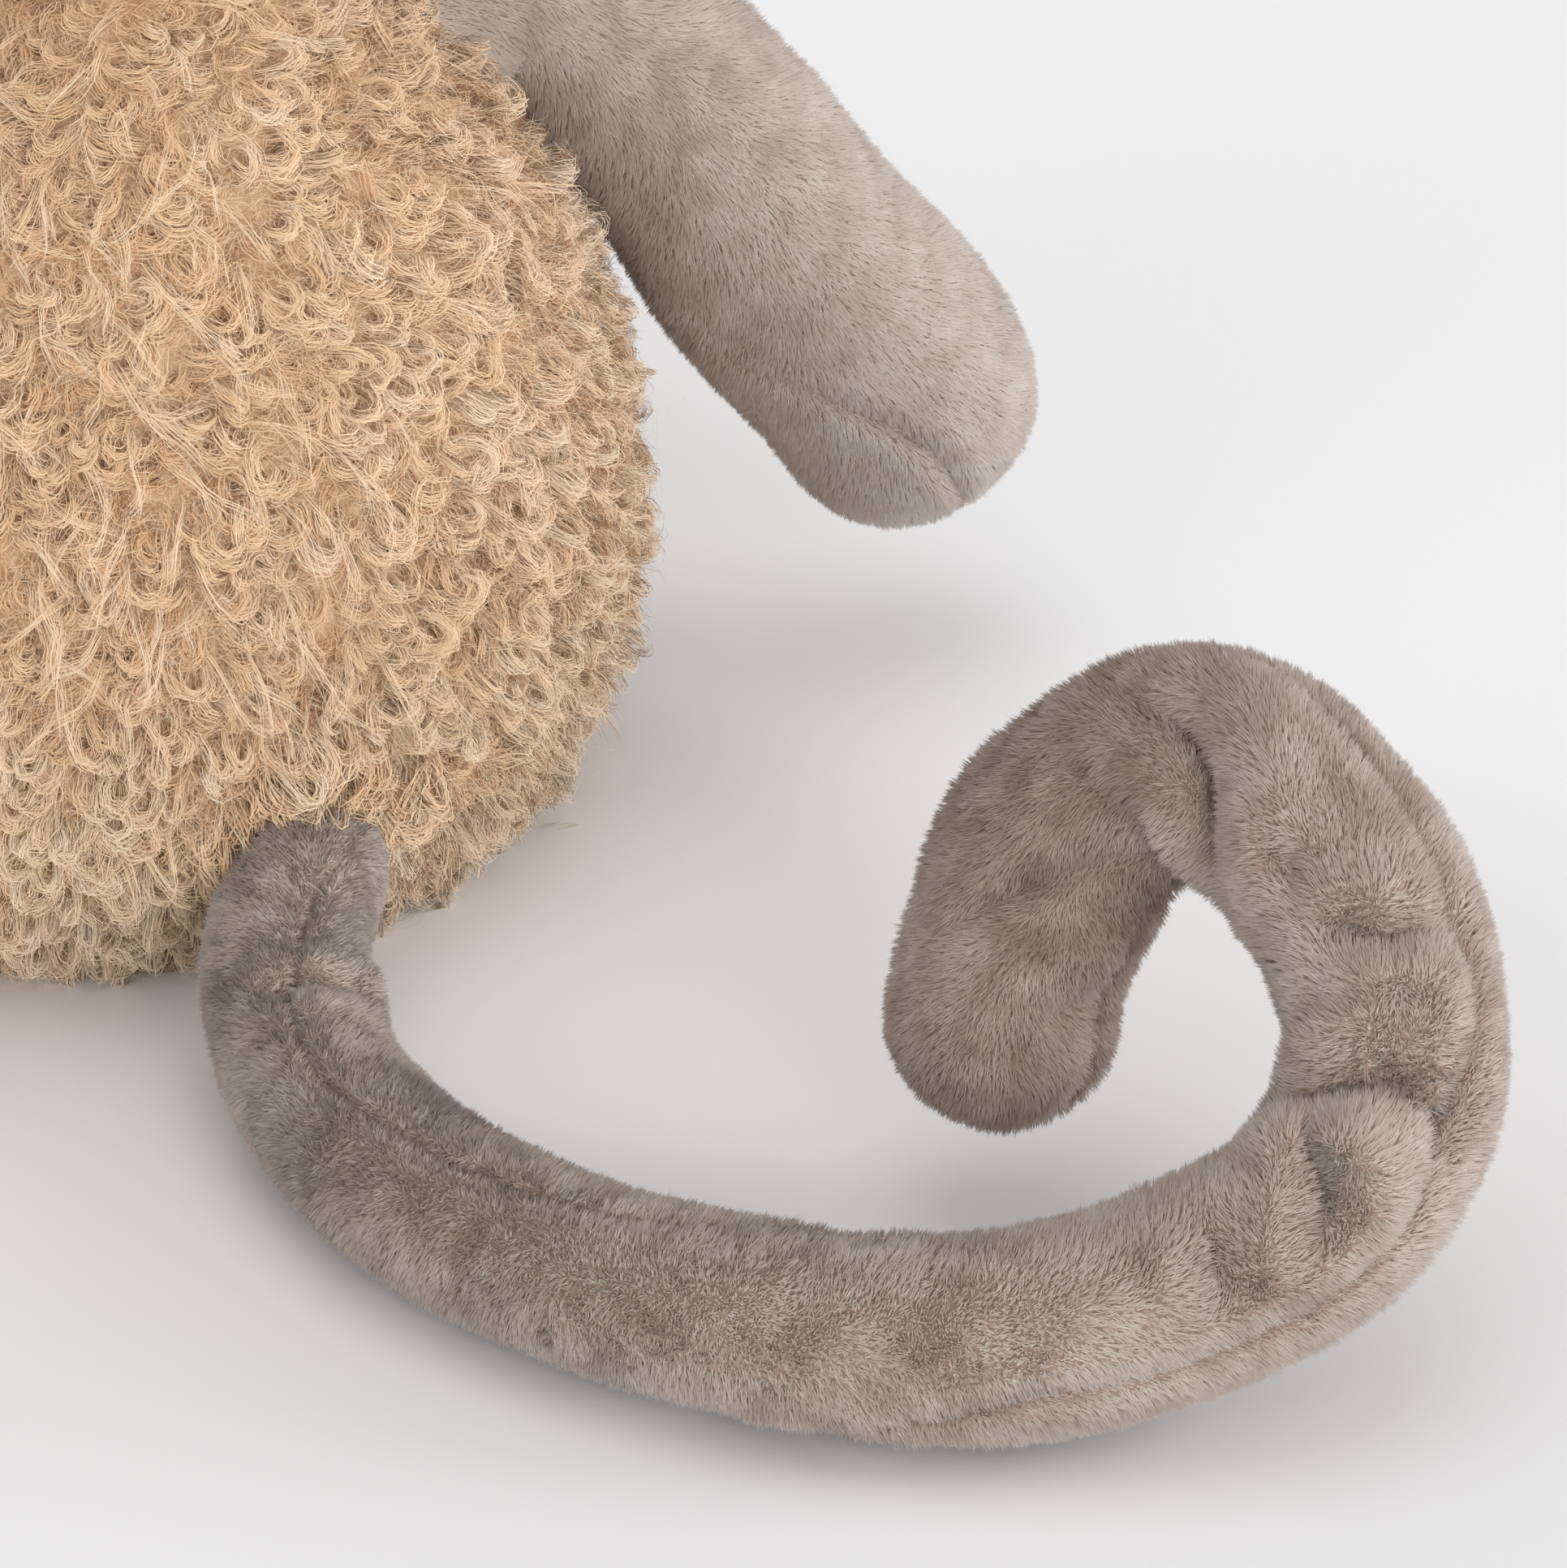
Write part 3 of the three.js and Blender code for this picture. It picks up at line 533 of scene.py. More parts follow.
def fuzz(name, body, grid, material, density, seed, length, width, keep=None):
    """Fine single hairs that stand out of the curls."""
    rng = np.random.default_rng(seed)
    p, n, _, _ = spread(grid, density, seed, keep)
    count = len(p)
    size = length * rng.uniform(0.5, 1.2, count)[:, None]
    first = unit(n + 0.8 * rng.standard_normal((count, 3)))
    second = unit(first + 0.9 * rng.standard_normal((count, 3)) - 0.3 * UP)
    third = unit(second + 0.9 * rng.standard_normal((count, 3)) - 0.3 * UP)
    base = p + n * rng.uniform(0.6, 3.0, count)[:, None]
    lines = np.stack([base, base + first * size / 3, base + (first + second) * size / 3,
                      base + (first + second + third) * size / 3], axis=1)
    out = np.broadcast_to(unit(n + 0.4 * rng.standard_normal((count, 3)))[:, None, :], lines.shape)
    widths = width * np.array([1, 1, 0.8, 0]) * np.ones((count, 1))
    ribbons(name, body, material, lines, out, widths, 0.6 + 0.14 * rng.standard_normal(count),
            0.8, n)


def wisps(name, body, grid, material, density, seed, length, width, keep, members, lift, bright):
    """Long loose strands in small bunches that hang over the pile and draw together at their tips."""
    rng = np.random.default_rng(seed)
    p, n, _, _ = spread(grid, density, seed, keep)
    count = len(p)
    turn = 0.7 * noise(p, 16, seed + 1) + 0.5 * rng.standard_normal(count)
    c = turned(downhill(n), n, turn)
    b = np.cross(n, c)
    size = length * rng.uniform(0.5, 1.2, count)
    bow = rng.uniform(-0.45, 0.45, count)
    wave = rng.uniform(0, 2 * math.pi, count)
    t = np.linspace(0, 1, 7)
    lines, tones = [], []
    for _ in range(members):
        scatter = 0.5 * rng.standard_normal((2, count))
        high = (lift + 0.12 * rng.standard_normal(count)) * size + 1
        reach = size * (1 + 0.18 * rng.standard_normal(count))
        rise = high[:, None] * np.sin(np.clip(t * 2.1, 0, math.pi * 0.8))[None, :]
        slip = (scatter[0][:, None] * (1 - 0.7 * t) + (bow * size)[:, None] * t ** 2
                + 0.9 * np.sin(wave[:, None] + 7 * t) * t)
        ahead = reach[:, None] * t ** 1.2 + scatter[1][:, None] * (1 - t)
        lines.append(p[:, None, :] + n[:, None, :] * rise[..., None] + c[:, None, :] * ahead[..., None]
                     + b[:, None, :] * slip[..., None])
        tones.append(0.5 + bright + 0.12 * rng.standard_normal(count))
    lines = np.vstack(lines)
    normals = np.vstack([n] * members)
    out = np.broadcast_to(normals[:, None, :], lines.shape)
    widths = width * np.array([0.8, 1, 1, 1, 0.9, 0.7, 0]) * (1 + 0.4 * rng.random((len(lines), 1)))
    ribbons(name, body, material, lines, out, widths, np.concatenate(tones), 0.7, normals)


# Materials
def principled(name):
    material = bpy.data.materials.new(name)
    material.use_nodes = True
    nodes = material.node_tree.nodes
    return material, nodes["Principled BSDF"], nodes, material.node_tree.links


def noise_node(nodes, links, scale):
    """Noise that stays with its piece."""
    place = nodes.new("ShaderNodeTexCoord")
    grain = nodes.new("ShaderNodeTexNoise")
    grain.inputs["Scale"].default_value = scale
    links.new(place.outputs["Object"], grain.inputs["Vector"])
    return grain


def ramp(nodes, stops):
    node = nodes.new("ShaderNodeValToRGB")
    elements = node.color_ramp.elements
    while len(elements) < len(stops):
        elements.new(0.5)
    for element, (place, colour) in zip(elements, stops):
        element.position = place
        element.color = (*colour, 1)
    return node


def linear(r, g, b):
    return tuple(((v / 255 + 0.055) / 1.055) ** 2.4 if v > 10 else v / 255 / 12.92 for v in (r, g, b))


def pile_material(name, tones, root, sheen):
    """Tone runs from dark to light across the UV map, and a painted shade darkens each strand towards its
    root, where the strands crowd and shade one another.
    """
    material, shader, nodes, links = principled(name)
    uv = nodes.new("ShaderNodeUVMap")
    uv.uv_map = "OFBake"
    split = nodes.new("ShaderNodeSeparateXYZ")
    links.new(uv.outputs[0], split.inputs[0])
    tone = ramp(nodes, [(0.0, tones[0]), (0.5, tones[1]), (1.0, tones[2])])
    links.new(split.outputs[0], tone.inputs[0])
    # Painted shade: the colour darkens from the tip down to the root colour
    depth = ramp(nodes, [(0.0, root), (0.7, (1, 1, 1))])
    links.new(split.outputs[1], depth.inputs[0])
    mix = nodes.new("ShaderNodeMix")
    mix.data_type = "RGBA"
    mix.blend_type = "MULTIPLY"
    mix.inputs["Factor"].default_value = 1
    links.new(tone.outputs[0], mix.inputs["A"])
    links.new(depth.outputs[0], mix.inputs["B"])
    links.new(mix.outputs["Result"], shader.inputs["Base Color"])
    shader.inputs["Roughness"].default_value = 0.85
    shader.inputs["Specular IOR Level"].default_value = 0.15
    shader.inputs["Sheen Weight"].default_value = sheen
    shader.inputs["Sheen Roughness"].default_value = 0.5
    return material


def cloth_material(name, dark, light):
    """Knitted backing cloth under the pile."""
    material, shader, nodes, links = principled(name)
    grain = noise_node(nodes, links, 900)
    tone = ramp(nodes, [(0.3, dark), (0.7, light)])
    links.new(grain.outputs["Fac"], tone.inputs[0])
    links.new(tone.outputs[0], shader.inputs["Base Color"])
    shader.inputs["Roughness"].default_value = 0.95
    shader.inputs["Specular IOR Level"].default_value = 0.1
    bump = nodes.new("ShaderNodeBump")
    bump.inputs["Strength"].default_value = 0.5
    bump.inputs["Distance"].default_value = 0.0006
    links.new(grain.outputs["Fac"], bump.inputs["Height"])
    links.new(bump.outputs[0], shader.inputs["Normal"])
    return material


def hard_material(name, colour, roughness, grain_scale, coat=0.0):
    material, shader, nodes, links = principled(name)
    grain = noise_node(nodes, links, grain_scale)
    shine = nodes.new("ShaderNodeMapRange")
    shine.inputs["To Min"].default_value = roughness * 0.7
    shine.inputs["To Max"].default_value = roughness * 1.3
    links.new(grain.outputs["Fac"], shine.inputs["Value"])
    links.new(shine.outputs[0], shader.inputs["Roughness"])
    shader.inputs["Base Color"].default_value = (*colour, 1)
    shader.inputs["Coat Weight"].default_value = coat
    return material


# Each pile's tones from dark to light, then the painted shade colour at its strands' roots, then its sheen
TAUPE = pile_material(
    "short_plush_pile", [linear(158, 134, 120), linear(216, 196, 183), linear(240, 229, 219)],
    (0.88, 0.87, 0.86), 0.3)
TAN = pile_material(
    "curly_plush_pile", [linear(232, 190, 147), linear(252, 221, 184), linear(255, 242, 221)],
    (0.97, 0.91, 0.83), 0.35)
TAUPE_CLOTH = cloth_material("short_plush_backing", linear(160, 140, 127), linear(182, 162, 148))
TAN_CLOTH = cloth_material("curly_plush_backing", linear(232, 197, 158), linear(242, 208, 171))
EYE_PLASTIC = hard_material("eye_plastic", (0.006, 0.005, 0.004), 0.08, 300, 1.0)
WASHER_PLASTIC = hard_material("washer_plastic", (0.8, 0.8, 0.77), 0.5, 500)


# Camera, floor and lights
CAMERA = np.array([319.9, 827.4, 470.35])
CAMERA_AIM = np.array([-80.95, 40.72, 0.88])
SENSOR_WIDTH = 36
FOCAL_PIXELS = 9000
PHOTO_HEIGHT = 1932


def make_camera():
    data = bpy.data.cameras.new("camera")
    data.sensor_width = SENSOR_WIDTH
    data.lens = FOCAL_PIXELS / PHOTO_HEIGHT * SENSOR_WIDTH
    camera = placed("camera", data)
    camera.location = Vector(CAMERA) * MM
    aim = Vector(CAMERA_AIM) * MM
    camera.rotation_euler = (aim - camera.location).to_track_quat("-Z", "Y").to_euler()
    data.clip_start = 0.01
    data.clip_end = 20
    bpy.context.scene.camera = camera


def make_light(name, place, aim, size, power):
    data = bpy.data.lights.new(name, "AREA")
    data.shape = "DISK"
    data.size = size
    data.energy = power
    light = placed(name, data)
    light.location = place
    light.rotation_euler = (Vector(aim) - Vector(place)).to_track_quat("-Z", "Y").to_euler()


FLOOR_RADIUS = 1.2
# The even light from all round, and the pale backdrop that is seen
SKY = 0.5
SHOWN_SKY = 0.86
# Each soft lamp: its place, what it is aimed at, its width and its power
LAMPS = [
    ("top", (-0.05, 0.0, 2.6), (-0.05, 0.1, 0.0), 2.0, 10),
    ("left", (5.8, 2.3, 1.5), (-0.05, 0.1, 0.05), 3.0, 54),
    ("right", (-5.6, 2.6, 2.5), (-0.05, 0.1, 0.05), 3.0, 126),
    ("near", (0.5, 5.9, 1.5), (-0.05, 0.1, 0.05), 3.0, 140),
    ("far", (1.5, -6.3, 2.5), (0, 0, 0.1), 3.0, 118),
]


def make_stage():
    mesh = bpy.data.meshes.new("floor")
    turn = turns(96)
    ring = np.stack([FLOOR_RADIUS * np.cos(turn), FLOOR_RADIUS * np.sin(turn), 0 * turn], axis=1)
    mesh.from_pydata([tuple(v) for v in ring.tolist()], [], [tuple(range(len(ring)))])
    floor = placed("floor", mesh)
    material, shader, nodes, links = principled("floor_paper")
    grain = noise_node(nodes, links, 3)
    tone = ramp(nodes, [(0.3, linear(248, 248, 249)), (0.7, linear(250, 250, 251))])
    links.new(grain.outputs["Fac"], tone.inputs[0])
    links.new(tone.outputs[0], shader.inputs["Base Color"])
    shader.inputs["Roughness"].default_value = 0.9
    shader.inputs["Specular IOR Level"].default_value = 0.1
    mesh.materials.append(material)


def make_world():
    world = bpy.data.worlds.new("soft_light")
    world.use_nodes = True
    nodes, links = world.node_tree.nodes, world.node_tree.links
    nodes["Background"].inputs["Color"].default_value = (1, 1, 1, 1)
    rays = nodes.new("ShaderNodeLightPath")
    either = nodes.new("ShaderNodeMath")
    shown = nodes.new("ShaderNodeMath")
    shown.use_clamp = True
    strength = nodes.new("ShaderNodeMath")
    strength.operation = "MULTIPLY_ADD"
    strength.inputs[1].default_value = SHOWN_SKY - SKY
    strength.inputs[2].default_value = SKY
    links.new(rays.outputs["Is Camera Ray"], either.inputs[0])
    links.new(rays.outputs["Is Glossy Ray"], either.inputs[1])
    links.new(either.outputs[0], shown.inputs[0])
    links.new(rays.outputs["Is Transmission Ray"], shown.inputs[1])
    links.new(shown.outputs[0], strength.inputs[0])
    links.new(strength.outputs[0], nodes["Background"].inputs["Strength"])
    bpy.context.scene.world = world
    for lamp in LAMPS:
        make_light(*lamp)
    bpy.context.scene.view_settings.view_transform = "Standard"


make_camera()
make_stage()
make_world()

SHARE = 1.0
# Short pile, strands to a square millimetre, length and width: where the photograph shows it, and elsewhere
FINE_PILE = (12.5, 1.8, 0.115)
PLAIN_PILE = (4, 2.2, 0.2)


# Seams and folds
def turn_between(a, b):
    """The signed angle from b to a."""
    return (a - b + math.pi) % (2 * math.pi) - math.pi


def seam_gap(s, angle, table, reach):
    """Distance over the cloth from the nearer of two seams on opposite sides. The table gives the angle of
    one, in degrees, along the piece."""
    places, degrees = np.array(table, float).T
    gaps = []
    for way_round in (degrees, degrees + 180):
        at = np.radians(np.interp(s, places, way_round))
        gaps.append(np.abs(turn_between(angle[None, :], at[:, None])) * reach)
    return np.minimum(*gaps)


def fold_gap(s, angle, line, reach):
    """Distance over the cloth from a line of (place, degrees) points, and how far along the line that is."""
    u, v = s[:, None] + 0 * angle[None, :], angle[None, :] + 0 * s[:, None]
    best, where = np.full(u.shape, 1e9), np.zeros(u.shape)
    count = len(line) - 1
    for k, ((s0, a0), (s1, a1)) in enumerate(zip(line[:-1], line[1:])):
        a0, a1 = math.radians(a0), math.radians(a1)
        du, dv = s1 - s0, turn_between(a1, a0) * reach
        pu, pv = u - s0, turn_between(v, a0) * reach
        t = np.clip((pu * du + pv * dv) / (du * du + dv * dv), 0, 1)
        gap = np.hypot(pu - t * du, pv - t * dv)
        where = np.where(gap < best, (k + t) / count, where)
        best = np.minimum(best, gap)
    return best, where


def folded(s, angle, folds, reach):
    """Valleys with raised lips that run out at their ends: each fold is a line, a depth and a width. A
    negative depth is a bulge."""
    total = np.zeros((len(s), len(angle)))
    for line, depth, width in folds:
        gap, where = fold_gap(s, angle, line, reach)
        lip = 0.3 * np.exp(-((gap - 3 * width) / (1.4 * width)) ** 2) if depth > 0 else 0
        crease = 0.6 * np.exp(-(gap / (0.5 * width)) ** 1.5) + 0.5 * np.exp(-(gap / (1.7 * width)) ** 2)
        total += depth * (lip - crease) * (0.45 + 0.55 * np.sin(math.pi * where))
    return total


def sewn(gap, depth):
    """The groove of a seam, with a raised lip at both sides."""
    return 0.35 * depth * np.exp(-((gap - 3.4) / 1.5) ** 2) - depth * np.exp(-(gap / 1.2) ** 2)


def uneven(grid, broad, fine, seed):
    """Lumps of stuffing under the cloth, broad ones and fine ones, each with a height and a width."""
    flat = grid.reshape(-1, 3)
    total = broad[0] * noise(flat, broad[1], seed) + fine[0] * noise(flat, fine[1], seed + 1)
    return total.reshape(grid.shape[:2])


def stuffed(grid, near, away, hold, swelling):
    """Draws a limb's cloth in a little, then lets it swell while its seams and ends are held."""
    return swollen(push(grid, -0.8 * away * (near > 2)), np.maximum(near < hold, away < 0.3), *swelling)


def seam_trim_and_shade(near):
    """How far the pile is drawn in, and darkened with painted shade, at each place of a grid, from the
    distance to its nearest seam.
    """
    return lambda at: np.exp(-at_strands(near, at) ** 2)


def seen_first(grid):
    """Pile is thinner on the side turned away from the camera."""
    towards = unit(CAMERA - grid)
    faces = np.sum(grid_normals(grid) * towards, axis=2)
    return 0.4 + 0.6 * smooth((faces[:-1] + 0.45) / 0.3)


# Tail
TAIL_SEAM = [(0, 14), (27, 46), (37, 66), (57, 80), (90, 68), (113, 60), (154, -22), (322, -21)]
TAIL_FOLDS = [
    ([(262, 112), (252, 78), (246, 30)], 5.6, 3.0),
    ([(276, 110), (266, 55)], 2.4, 5.0),
    ([(297, 95), (282, 42), (267, 5)], 3.6, 5.0),
    ([(301, 20), (298, -24)], 2.6, 3.6),
    ([(228, 86), (225.5, 116), (225, 152)], 3.4, 1.5),
    ([(221, 86), (221, 152)], -1.2, 3.5),
    ([(238, 70), (236, 94)], 2.8, 5.5),
    ([(219, 104), (218, 126)], 2.4, 4.5),
    ([(202, 44), (207, 80), (209.5, 110), (209, 138), (205, 166)], 5.4, 2.6),
    ([(201, 50), (199, 84), (201, 120)], -2.6, 4.4),
    ([(201, 82), (197, 100), (192, 128)], 4.4, 1.9),
    ([(181, 92), (178.5, 126)], 2.6, 2.2),
    ([(36, 20), (35, 76)], 3.2, 1.8),
    ([(31, -12), (31, 10)], -2.6, 6.0),
    ([(139, 104), (146, 134)], 1.8, 6.0),
]
# How much the pile is painted lighter or darker by the row along the tail: painted light near the root,
# which lies in the body's shade, and painted shade over the hook's top and its descending end
TAIL_PAINTED_LIGHT_AND_SHADE = np.array([(20, 0.16), (90, 0.06), (235, 0.06), (265, -0.28), (285, -0.36), (305, -0.12)]).T


def make_tail(density, length, width):
    start = unit(np.array(TAIL_ROUTE[1], float))
    across = unit(np.cross(UP, start))
    turn = math.radians(TAIL_SEAM_TURN)
    across = across * math.cos(turn) + np.cross(start, across) * math.sin(turn)
    grid, s = limb(np.array(TAIL_ROUTE) + TAIL_ROOT, across, (TAIL_RADII[0],) * 2, (TAIL_RADII[1],) * 2,
                   None, TAIL_RADII[0], False, TAIL_RADII[1], *TAIL_GRID)
    angle = turns(grid.shape[1])
    lumps = uneven(grid, (0.4, 22), (0.3, 9), 11)
    near = seam_gap(s, angle, TAIL_SEAM, TAIL_SEAM_REACH)
    depth = (1.2 + 0.8 * smooth((s - 110) / 50))[:, None]
    away = (smooth((s - 2) / 8) * smooth((s[-1] - s) / 8))[:, None]
    grid = stuffed(grid, near, away, 2.5, TAIL_SWELLING)
    grid = push(grid, (lumps + sewn(near, 1) * depth + folded(s, angle, TAIL_FOLDS, TAIL_FOLD_REACH)) * away)
    skin("tail_skin", grid, "tail", ["tail_upper_panel", "tail_lower_panel", "tail_stuffing"],
         TAUPE_CLOTH)
    short_pile("tail_pile", "tail", grid, TAUPE, density * SHARE, length, width, 101, keep=seen_first(grid),
               tone=lambda at: np.interp(at[:, 0], *TAIL_PAINTED_LIGHT_AND_SHADE), trim_and_shade=seam_trim_and_shade(near))


# Arms
ARM_SEAM = [(0, 190), (82, 184), (94, 150), (101, 128), (110, 118), (123, 102), (138, 90)]
ARM_FOLDS = [
    ([(88, 150), (95, 132)], 1.6, 4.0),
    ([(30, 150), (36, 185)], 2.0, 3.0),
    ([(112, 60), (118, 40)], 0.8, 7.0),
]


def make_arm(mirror, density, length, width):
    name = "left" if mirror else "right"
    points = [[SHOULDER[0] - out, SHOULDER[1], SHOULDER[2] + rise] for out, rise in ARM_ROUTE]
    grid, s = limb(points, UP, ARM_ROOT, ARM_END, None, 0, False, ARM_END[0], *ARM_GRID)
    angle = turns(grid.shape[1])
    lumps = uneven(grid, (0.7, 30), (0.4, 12), 21)
    near = seam_gap(s, angle, ARM_SEAM, ARM_REACH)
    depth = (0.7 + 1.1 * smooth((s - 85) / 20))[:, None]
    away = (smooth((s - 18) / 20) * smooth((s[-1] - s) / 6))[:, None]
    grid = stuffed(grid, near, away, 3, ARM_SWELLING)
    grid = push(grid, (lumps + sewn(near, 1) * depth + folded(s, angle, ARM_FOLDS, ARM_REACH)) * away)
    short = 0.3 - (grid - SHOULDER) @ SHOULDER_NORMAL
    grid = grid + SHOULDER_NORMAL * np.maximum(0, short)[..., None]
    keep = seen_first(grid) * (short[:-1] < 0)
    if mirror:
        grid = grid * MIRROR
    nodes = [f"arm_{name}_{part}" for part in ("back_panel", "front_panel", "stuffing")]
    skin(f"arm_{name}_skin", grid, f"arm_{name}", nodes, TAUPE_CLOTH)
    # The arm's pile is a little lighter than the tail's, and painted lighter still towards the hand: painted
    # light, as the hand catches more of the lamps
    short_pile(f"arm_{name}_pile", f"arm_{name}", grid, TAUPE, density * SHARE, length, width, 201 + mirror,
               tone=lambda at: 0.1 + 0.22 * smooth((at[:, 0] - 70) / 60), keep=keep, trim_and_shade=seam_trim_and_shade(near))


# Legs: how far along the leg, and how far up to the toe, each point of its route is
LEG_STEPS = [[0, 0], [0.35, 0], [0.7, 0], [0.93, 0.22], [1, 1]]
LEG_SEAM = [(0, 0), (1, 0)]
LEG_FOLDS = [([(84, 60), (83, 120)], 1.8, 4.0), ([(28, 50), (27, 130)], 1.4, 3.0)]
LEG_LOWEST = 1.2


def make_leg(mirror, density, length, width):
    name = "left" if mirror else "right"
    points = [HIP + LEG_OUT * out * LEG_LENGTH + UP * rise * FOOT_RISE for out, rise in LEG_STEPS]
    grid, s = limb(points, np.cross(UP, LEG_OUT), LEG_ROOT, LEG_END, LEG_SWELL, LEG_ROOT[1], True, FOOT_CAP,
                   *LEG_GRID)
    angle = turns(grid.shape[1])
    lumps = uneven(grid, (0.7, 28), (0.4, 12), 41)
    near = seam_gap(s, angle, LEG_SEAM, LEG_REACH)
    away = (smooth((s - 20) / 20) * smooth((s[-1] - s) / 8))[:, None]
    grid = stuffed(grid, near, away, 3, LEG_SWELLING)
    grid = push(grid, (lumps + sewn(near, 1.8) + folded(s, angle, LEG_FOLDS, LEG_REACH)) * away)
    grid[..., 2] = np.maximum(grid[..., 2], LEG_LOWEST)
    if mirror:
        grid = grid * MIRROR
    nodes = [f"leg_{name}_{part}" for part in ("top_panel", "under_panel", "stuffing")]
    skin(f"leg_{name}_skin", grid, f"leg_{name}", nodes, TAUPE_CLOTH)
    short_pile(f"leg_{name}_pile", f"leg_{name}", grid, TAUPE, density * SHARE, length, width, 221 + mirror,
               tone=lambda at: 0.05, trim_and_shade=seam_trim_and_shade(near))


# Body
def body_half(height, seat, widest):
    below = 1 - height / BODY_WIDEST_HEIGHT
    low = seat + (widest - seat) * np.sqrt(np.maximum(0, 1 - below * below))
    above = np.maximum(0, height - BODY_WIDEST_HEIGHT) / (BODY_HEIGHT - BODY_WIDEST_HEIGHT)
    high = NECK_RADIUS + (widest - NECK_RADIUS) * (1 - above ** SHOULDER_FULLNESS)
    return np.where(height < BODY_WIDEST_HEIGHT, low, high)


# The skin's gap round the tail's root, and the middle of the open part of the back seam above it
TAIL_GAP = 10.4
OPEN_SEAM_HEIGHT = TAIL_ROOT[2] + 22


def make_body():
    turn = turns(120)
    seat = np.linspace(0.05, 0.98, 12)
    low = BODY_WIDEST_HEIGHT * (1 - np.cos(np.linspace(0, math.pi / 2, 24, endpoint=False)))
    high = np.linspace(BODY_WIDEST_HEIGHT, BODY_HEIGHT, 50)
    heights = np.concatenate([low, high])
    wide = body_half(heights, SEAT_HALF_WIDTH, BODY_HALF_WIDTH)
    deep = body_half(heights, SEAT_HALF_DEPTH, BODY_HALF_DEPTH)
    rows = [(SEAT_HALF_WIDTH * f, SEAT_HALF_DEPTH * f, 0) for f in seat]
    rows += list(zip(wide, deep, heights))
    rows += [(NECK_RADIUS * f, NECK_RADIUS * f, BODY_HEIGHT) for f in (0.9, 0.6, 0.3)]
    grid = np.array([[(w * math.cos(a), d * math.sin(a), z) for a in turn] for w, d, z in rows])
    lumps = uneven(grid, (1.1, 26), (0.6, 11), 31)
    z = grid[..., 2]
    back = np.abs(grid[..., 0]) + 100 * (grid[..., 1] < 0)
    groove = -2.2 * np.exp(-(back / 2.4) ** 2)
    free = smooth((z - 1) / 10) * smooth((BODY_HEIGHT - z) / 8)
    side = np.abs(grid[..., 1] - SHOULDER[1])
    held = np.maximum(np.minimum(back, side) < 2, free < 0.4)
    grid = swollen(push(grid, -0.5 * free * (1 - held)), held, *BODY_SWELLING)
    full = 1.5 * np.exp(-((z - 58) / 24) ** 2)
    grid = push(grid, (lumps + groove + full) * free)
    bare = np.zeros(grid.shape[:2])
    for sign in (1, -1):
        flip = np.array([sign, 1, 1])
        proud = (grid - SHOULDER * flip) @ (SHOULDER_NORMAL * flip) + 0.3
        grid = grid - (SHOULDER_NORMAL * flip) * np.maximum(0, proud)[..., None]
        bare = np.maximum(bare, np.linalg.norm(grid - SHOULDER * flip, axis=2) < ARM_ROOT[1] - 1)
    from_tail = grid - TAIL_ROOT
    gap = np.linalg.norm(from_tail, axis=2, keepdims=True)
    grid = TAIL_ROOT + from_tail * np.maximum(1, TAIL_GAP / gap)
    bare = np.maximum(bare, gap[..., 0] < TAIL_GAP + 0.2)
    nodes = ["back_right_panel", "back_left_panel", "belly_panel", "seat_panel", "body_stuffing",
             "pellet_bag"]
    skin("body_skin", grid, "torso", nodes, TAN_CLOTH)

    middle = (grid[:-1] + grid[1:]) / 2
    x, y, z = middle[..., 0], middle[..., 1], middle[..., 2]
    furred = (z > 0.8) * (z < 127.9) * (1 - bare[:-1])
    fringe = (gap[:-1, :, 0] < 17) * (z > TAIL_ROOT[2]) * (1 - bare[:-1])
    near_side = (x < 38) * (y > -6)
    part_width = 1.0 + 1.4 * np.exp(-((z - OPEN_SEAM_HEIGHT) / 11) ** 2)
    parted = 1 - 0.92 * np.exp(-((np.abs(x) + 100 * (y < 0)) / part_width) ** 2)
    hanging = smooth((x + 12) / 20) * smooth((z - 35) / 20)

    # Painted light and shade on the back curls: painted light low down, painted shade on the upper left
    # where shade falls between the wisps, and a deep painted shadow in the parting of the back seam above
    # the tail
    def back_painted_light_and_shade(p):
        x, y, z = p.T
        seam_painted_shade = np.exp(-(x / 2.5) ** 2 - ((z - OPEN_SEAM_HEIGHT) / 11) ** 2)
        low = 0.14 * smooth((60 - z) / 50)
        return low - 0.12 * smooth((x + 5) / 20) * smooth((z - 30) / 20) - 0.45 * seam_painted_shade * (y > 0)

    curls("body_back_curls", "torso", grid, TAN, 0.23 * SHARE, 23, 301, furred * near_side * parted, 1.3, 6,
          0.033, back_painted_light_and_shade, 1.0)
    curls("body_front_curls", "torso", grid, TAN, 0.17 * SHARE, 12, 302, furred * (1 - near_side), 1.35, 6,
          0.048)
    loose = furred * near_side * (0.1 + 0.8 * hanging)
    wisps("body_wisps", "torso", grid, TAN, 0.05 * SHARE, 303, 11, 0.03, loose, 8, 0.62, 0.1)
    curls("body_tail_fringe", "torso", grid, TAN, 0.5 * SHARE, 13, 305, fringe, 1.5, lift=1.3)
    fuzz("body_fuzz", "torso", grid, TAN, 2.2 * SHARE, 304, 5, 0.03, furred * near_side)


